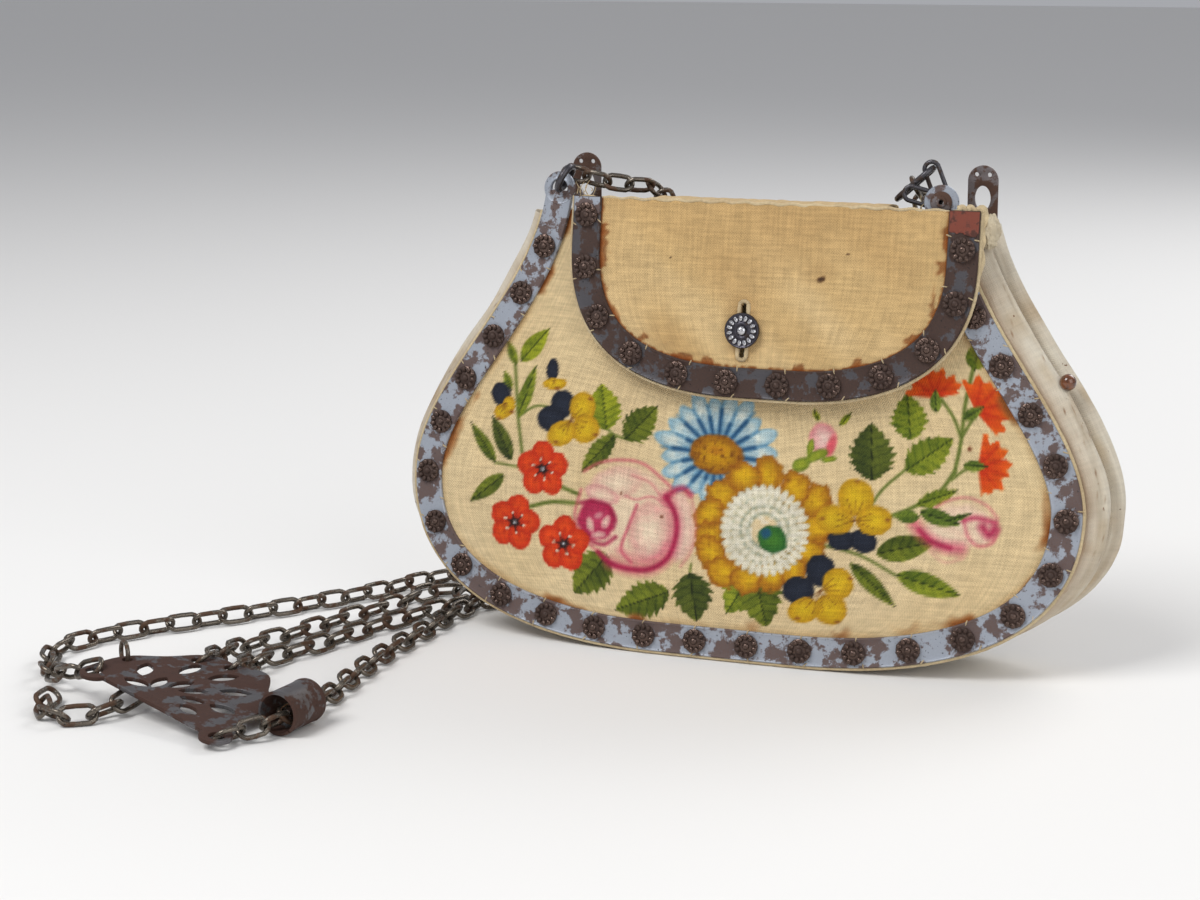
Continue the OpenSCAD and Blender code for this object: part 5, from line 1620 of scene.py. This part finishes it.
eyelets = makeEyelets()
rightPost, cornerLoops, cornerRing, leftRing = makeCornerFittings()
leftEar = bevelledNode("left_ear", "leftEar", 0.2, "earSteel")
rightEar = bevelledNode("right_ear", "rightEar", 0.2, "earSteel")
earRivets = bevelledNode("ear_rivets", "earRivets", 0.12, "cutSteel")
print("button and corner fittings in place")

# soft trim: loose lining, stitches, bead, frayed threads and the knot
trimSet = {
    "stitch": (1.8, 0.48), "frays": 16, "knot": (72.4, 0.6, 128.0), "knotSize": (3.0, 3.2, 5.2),
    "frayCorners": ((hornMid - 2, 133.0, 1.0), (6.6 - hornMid, 135.4, 0.7)),  # across, up, reach
    "bindingRise": (117, 135.2), "bindingCrest": 135.4, "endSheet": 0.16,
    "leftEnd": (-51.1, -42.8, 130.6, 134.8), "rightEnd": (61.8, 70.1, 128.4, 134.8),
    "frontStitchTop": 126, "flapStitchTop": 132,
}


def makeLiningFold():
    low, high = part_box("lining_fold")
    a, b = Vector(low) / mm, Vector(high) / mm

    def place(s, t):
        x = a.x + 0.3 + s * (b.x - a.x - 0.6)
        drop = 2.2 * (valueNoise(s * 9, s * 0 + 1.0, 2.0, 51) - 0.4) * t
        z = a.z + (b.z - a.z - 0.4) * t - np.maximum(drop, 0)
        y = (a.y + b.y) / 2 + 1.2 * np.sin(s * 16 + 1.6 * t) * (0.45 + 0.4 * t)
        y = y + 0.5 * (valueNoise(x, z, 3.0, 52) - 0.5)
        return np.column_stack([x, y, z]) * mm

    fold = newGrid("liningFold", 70, 50, place, (b.x - a.x, b.z - a.z))
    applyModifier(fold, "SOLIDIFY", thickness=0.6 * mm, offset=0)
    outward(fold)
    return settle(fold, "bag", ("lining_fold",), looks["liningCloth"], 60)


def stitchPlaces(curves, inset, count, base, shift, low):
    line = edgeLine(curves, inset, 60, shift)
    run = runLength(line)
    spots = (np.arange(count) + 0.5) / count * run[-1]
    at, ahead = pointsAlong(line, spots), pointsAlong(line, np.minimum(spots + 0.5, run[-1]))
    places = []
    for (u, v), (x, y) in zip(at, ahead):
        if v < low:
            turn = math.atan2(y - v, x - u) + 1.2 + 0.5 * math.sin(u * 3.1)
            places.append(frontSeat(u, v, base) @ Matrix.Rotation(turn, 4, "Z"))
    return places


def makeStitches(name, body, curves, count, base, shift, low):
    long, thin = trimSet["stitch"]
    bpy.ops.object.select_all(action="DESELECT")
    bpy.ops.mesh.primitive_uv_sphere_add(segments=10, ring_count=6, radius=1)
    stitch = bpy.context.object
    stitch.data.transform(Matrix.Diagonal((long / 2 * mm, thin / 2 * mm, thin / 2 * mm, 1)))
    places = stitchPlaces(curves, bag["bareEdge"] + 0.5, count, base, shift, low)
    places += stitchPlaces(curves, bag["bareEdge"] + bag["bandWidth"] - 0.3, count, base, shift, low)
    return settle(stamped(name, stitch, places), body, (), looks["edgeThread"], 60)


def makeBead():
    low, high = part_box("side_bead")
    middle = (Vector(low) + Vector(high)) / 2
    bpy.ops.object.select_all(action="DESELECT")
    bpy.ops.mesh.primitive_uv_sphere_add(segments=32, ring_count=20, radius=(high[0] - low[0]) / 2)
    bead = bpy.context.object
    bead.name = "sideBead"
    for vertex in bead.data.vertices:
        x, z = np.array([vertex.co.x / mm]), np.array([vertex.co.z / mm])
        vertex.co *= 1 - 0.05 * valueNoise(x, z, 1.6, 53)[0]
    bead.data.transform(Matrix.Translation(middle))
    return settle(bead, "bag", ("side_bead",), looks["amberBead"], 60)


def makeFrays():
    made = []
    for corner, height, reach in trimSet["frayCorners"]:
        start = onePoint(frontPoint(corner, height, -0.2))
        for i in range(trimSet["frays"]):
            x = np.array([-4.5 + 0.62 * i, 0.6 * math.sin(i * 2.3), 2.0 * math.sin(i * 1.3)])
            x = start + x * (reach, 1, 1)
            t = np.linspace(0, 1, 12)[:, None]
            tip = np.array([1.6 * math.sin(i * 1.9), 1.0 + 1.3 * math.cos(i * 2.7),
                            3.2 + 1.8 * math.sin(i * 3.7)])
            tip = tip * reach
            bend = np.array([math.sin(i * 5.1), math.cos(i * 3.3), 0.0])
            line = (x + tip * t + bend * t * (1 - t) * 1.8) * mm
            made.append(tubeAlong("fray", line, (0.17 - 0.1 * t[:, 0]) * mm, 5))
    return settle(joinAll("frayedThreads", made), "bag", (), looks["edgeThread"], 60)


def makeKnot():
    bpy.ops.object.select_all(action="DESELECT")
    bpy.ops.mesh.primitive_ico_sphere_add(subdivisions=5, radius=1)
    knot = bpy.context.object
    knot.name = "clothKnot"
    co = np.array([tuple(v.co) for v in knot.data.vertices])
    fold = valueNoise(co[:, 0] * 3 + co[:, 2] * 4, co[:, 1] * 3 - co[:, 2] * 2, 1.1, 54)
    crease = np.abs(valueNoise(co[:, 0] * 4, co[:, 2] * 5 + co[:, 1] * 3, 1.3, 55) - 0.5)
    size = np.array(trimSet["knotSize"]) * (0.72 + 0.3 * fold + 0.35 * crease)[:, None]
    knot.data.vertices.foreach_set("co", ((co * size + np.array(trimSet["knot"])) * mm).ravel())
    knot.data.update()
    return settle(knot, "bag", (), looks["liningCloth"], 60)


def makeBinding():  # a strip of cream binding, frayed, at the right end of the flap
    v = np.linspace(*trimSet["bindingRise"], 60)
    u = fw + bag["flapShift"] - 0.2 + 0.35 * np.sin(v * 1.1)
    line = frontPoint(u, v, flapInner - 0.2 + 0.3 * np.sin(v * 0.7))
    crest = trimSet["bindingCrest"] + 0.3 * np.sin(np.arange(30) * 0.6)
    over = frontPoint(np.linspace(fw + 9.0, fw + 2.0, 30), crest, flapInner + 0.2)
    fat = (0.75 + 0.75 * valueNoise(np.arange(90.0), np.zeros(90), 5.0, 57)) * mm
    fat[:6] *= np.linspace(0.3, 1, 6)
    strip = tubeAlong("flapBinding", np.vstack([line, over]), fat, 10)
    return settle(strip, "flap", (), looks["edgeThread"], 60)


def makeBandEnd(name, start, stop, low, high, material, slot):
    def place(s, t):
        u, v = start + s * (stop - start), low + t * (high - low)
        v = v + (valueNoise(u * 3, u * 0, 2.0, 58) - 0.5) * 1.6 * (t < 0.02)
        return frontPoint(u, v, flapOuter + bag["bandThick"] + 0.02)

    patch = newGrid(name, 24, 20, place, (stop - start, high - low))
    applyModifier(patch, "SOLIDIFY", thickness=trimSet["endSheet"] * mm, offset=1)
    outward(patch)
    return settle(patch, "flap", (), looks[material], 40)


flapBinding = makeBinding()
leftEnd = makeBandEnd("leftBandEnd", *trimSet["leftEnd"], "paleSteel", "pale_steel")
rightEnd = makeBandEnd("rightBandEnd", *trimSet["rightEnd"], "redSteel", "rust_steel")
liningFold = makeLiningFold()
onBand = bag["bandThick"] - 0.02
frontStitches = makeStitches("frontStitches", "bag", panelCurves, bag["frontRosettes"], onBand, 0.0,
                             trimSet["frontStitchTop"])
flapStitches = makeStitches("flapStitches", "flap", flapCurves, bag["flapRosettes"], flapOuter + onBand,
                            bag["flapShift"], trimSet["flapStitchTop"])
sideBead, frayedThreads, clothKnot = makeBead(), makeFrays(), makeKnot()

# linings: thin waved sheets behind the panels and the flap
liningSet = {"inset": 3.0, "drop": 3.0, "depth": 1.55, "flapDrop": 5.2, "sheet": 0.4, "ripple": 0.24,
             "hole": 2.4}


def makeLining(name, body, node, place, span, spots=None, half=0.0, run=0.0):
    lining = newGrid(name, 140, 96, place, span)
    if spots is not None:
        cutAway(lining, spots["u"], spots["v"], half, run)
    applyModifier(lining, "SOLIDIFY", thickness=liningSet["sheet"] * mm, offset=0)
    outward(lining)
    return settle(lining, body, (node,), looks["liningCloth"], 60)


def makeLinings():
    inset, drop, spots = liningSet["inset"], liningSet["drop"], {}

    def level(u, v, seed):
        return liningSet["ripple"] * (valueNoise(u, v, 12.0, seed) - 0.5) - liningSet["depth"]

    def frontPlace(s, t):
        spots["u"], spots["v"] = u, v = frontSpread(s, t, inset, drop)
        return frontPoint(u, v, level(u, v, 61))

    def backPlace(s, t):
        u, v = backSpread(s, t, inset, backTop - drop)
        return backPoint(u, v, level(u, v, 62))

    def flapPlace(s, t):
        spots["u"], spots["v"] = u, v = flapSpread(s, t, bag["bareEdge"], ft - liningSet["flapDrop"])
        return frontPoint(u, v, flapInner - 0.4 + flapRipple(u, v))

    bagSpan, flapSpan = (2 * wide, tall), (2 * fw, ft - fl)
    slitWide, slitLong = flapSet["slit"]
    front = makeLining("frontLining", "bag", "front_lining", frontPlace, bagSpan, spots, liningSet["hole"])
    back = makeLining("backLining", "bag", "back_lining", backPlace, bagSpan)
    flap = makeLining("flapLining", "flap", "flap_lining", flapPlace, flapSpan, spots, slitWide / 2 + 0.6,
                      (slitLong - slitWide) / 2)
    return front, back, flap


frontLining, backLining, flapLining = makeLinings()
print("trim in place")
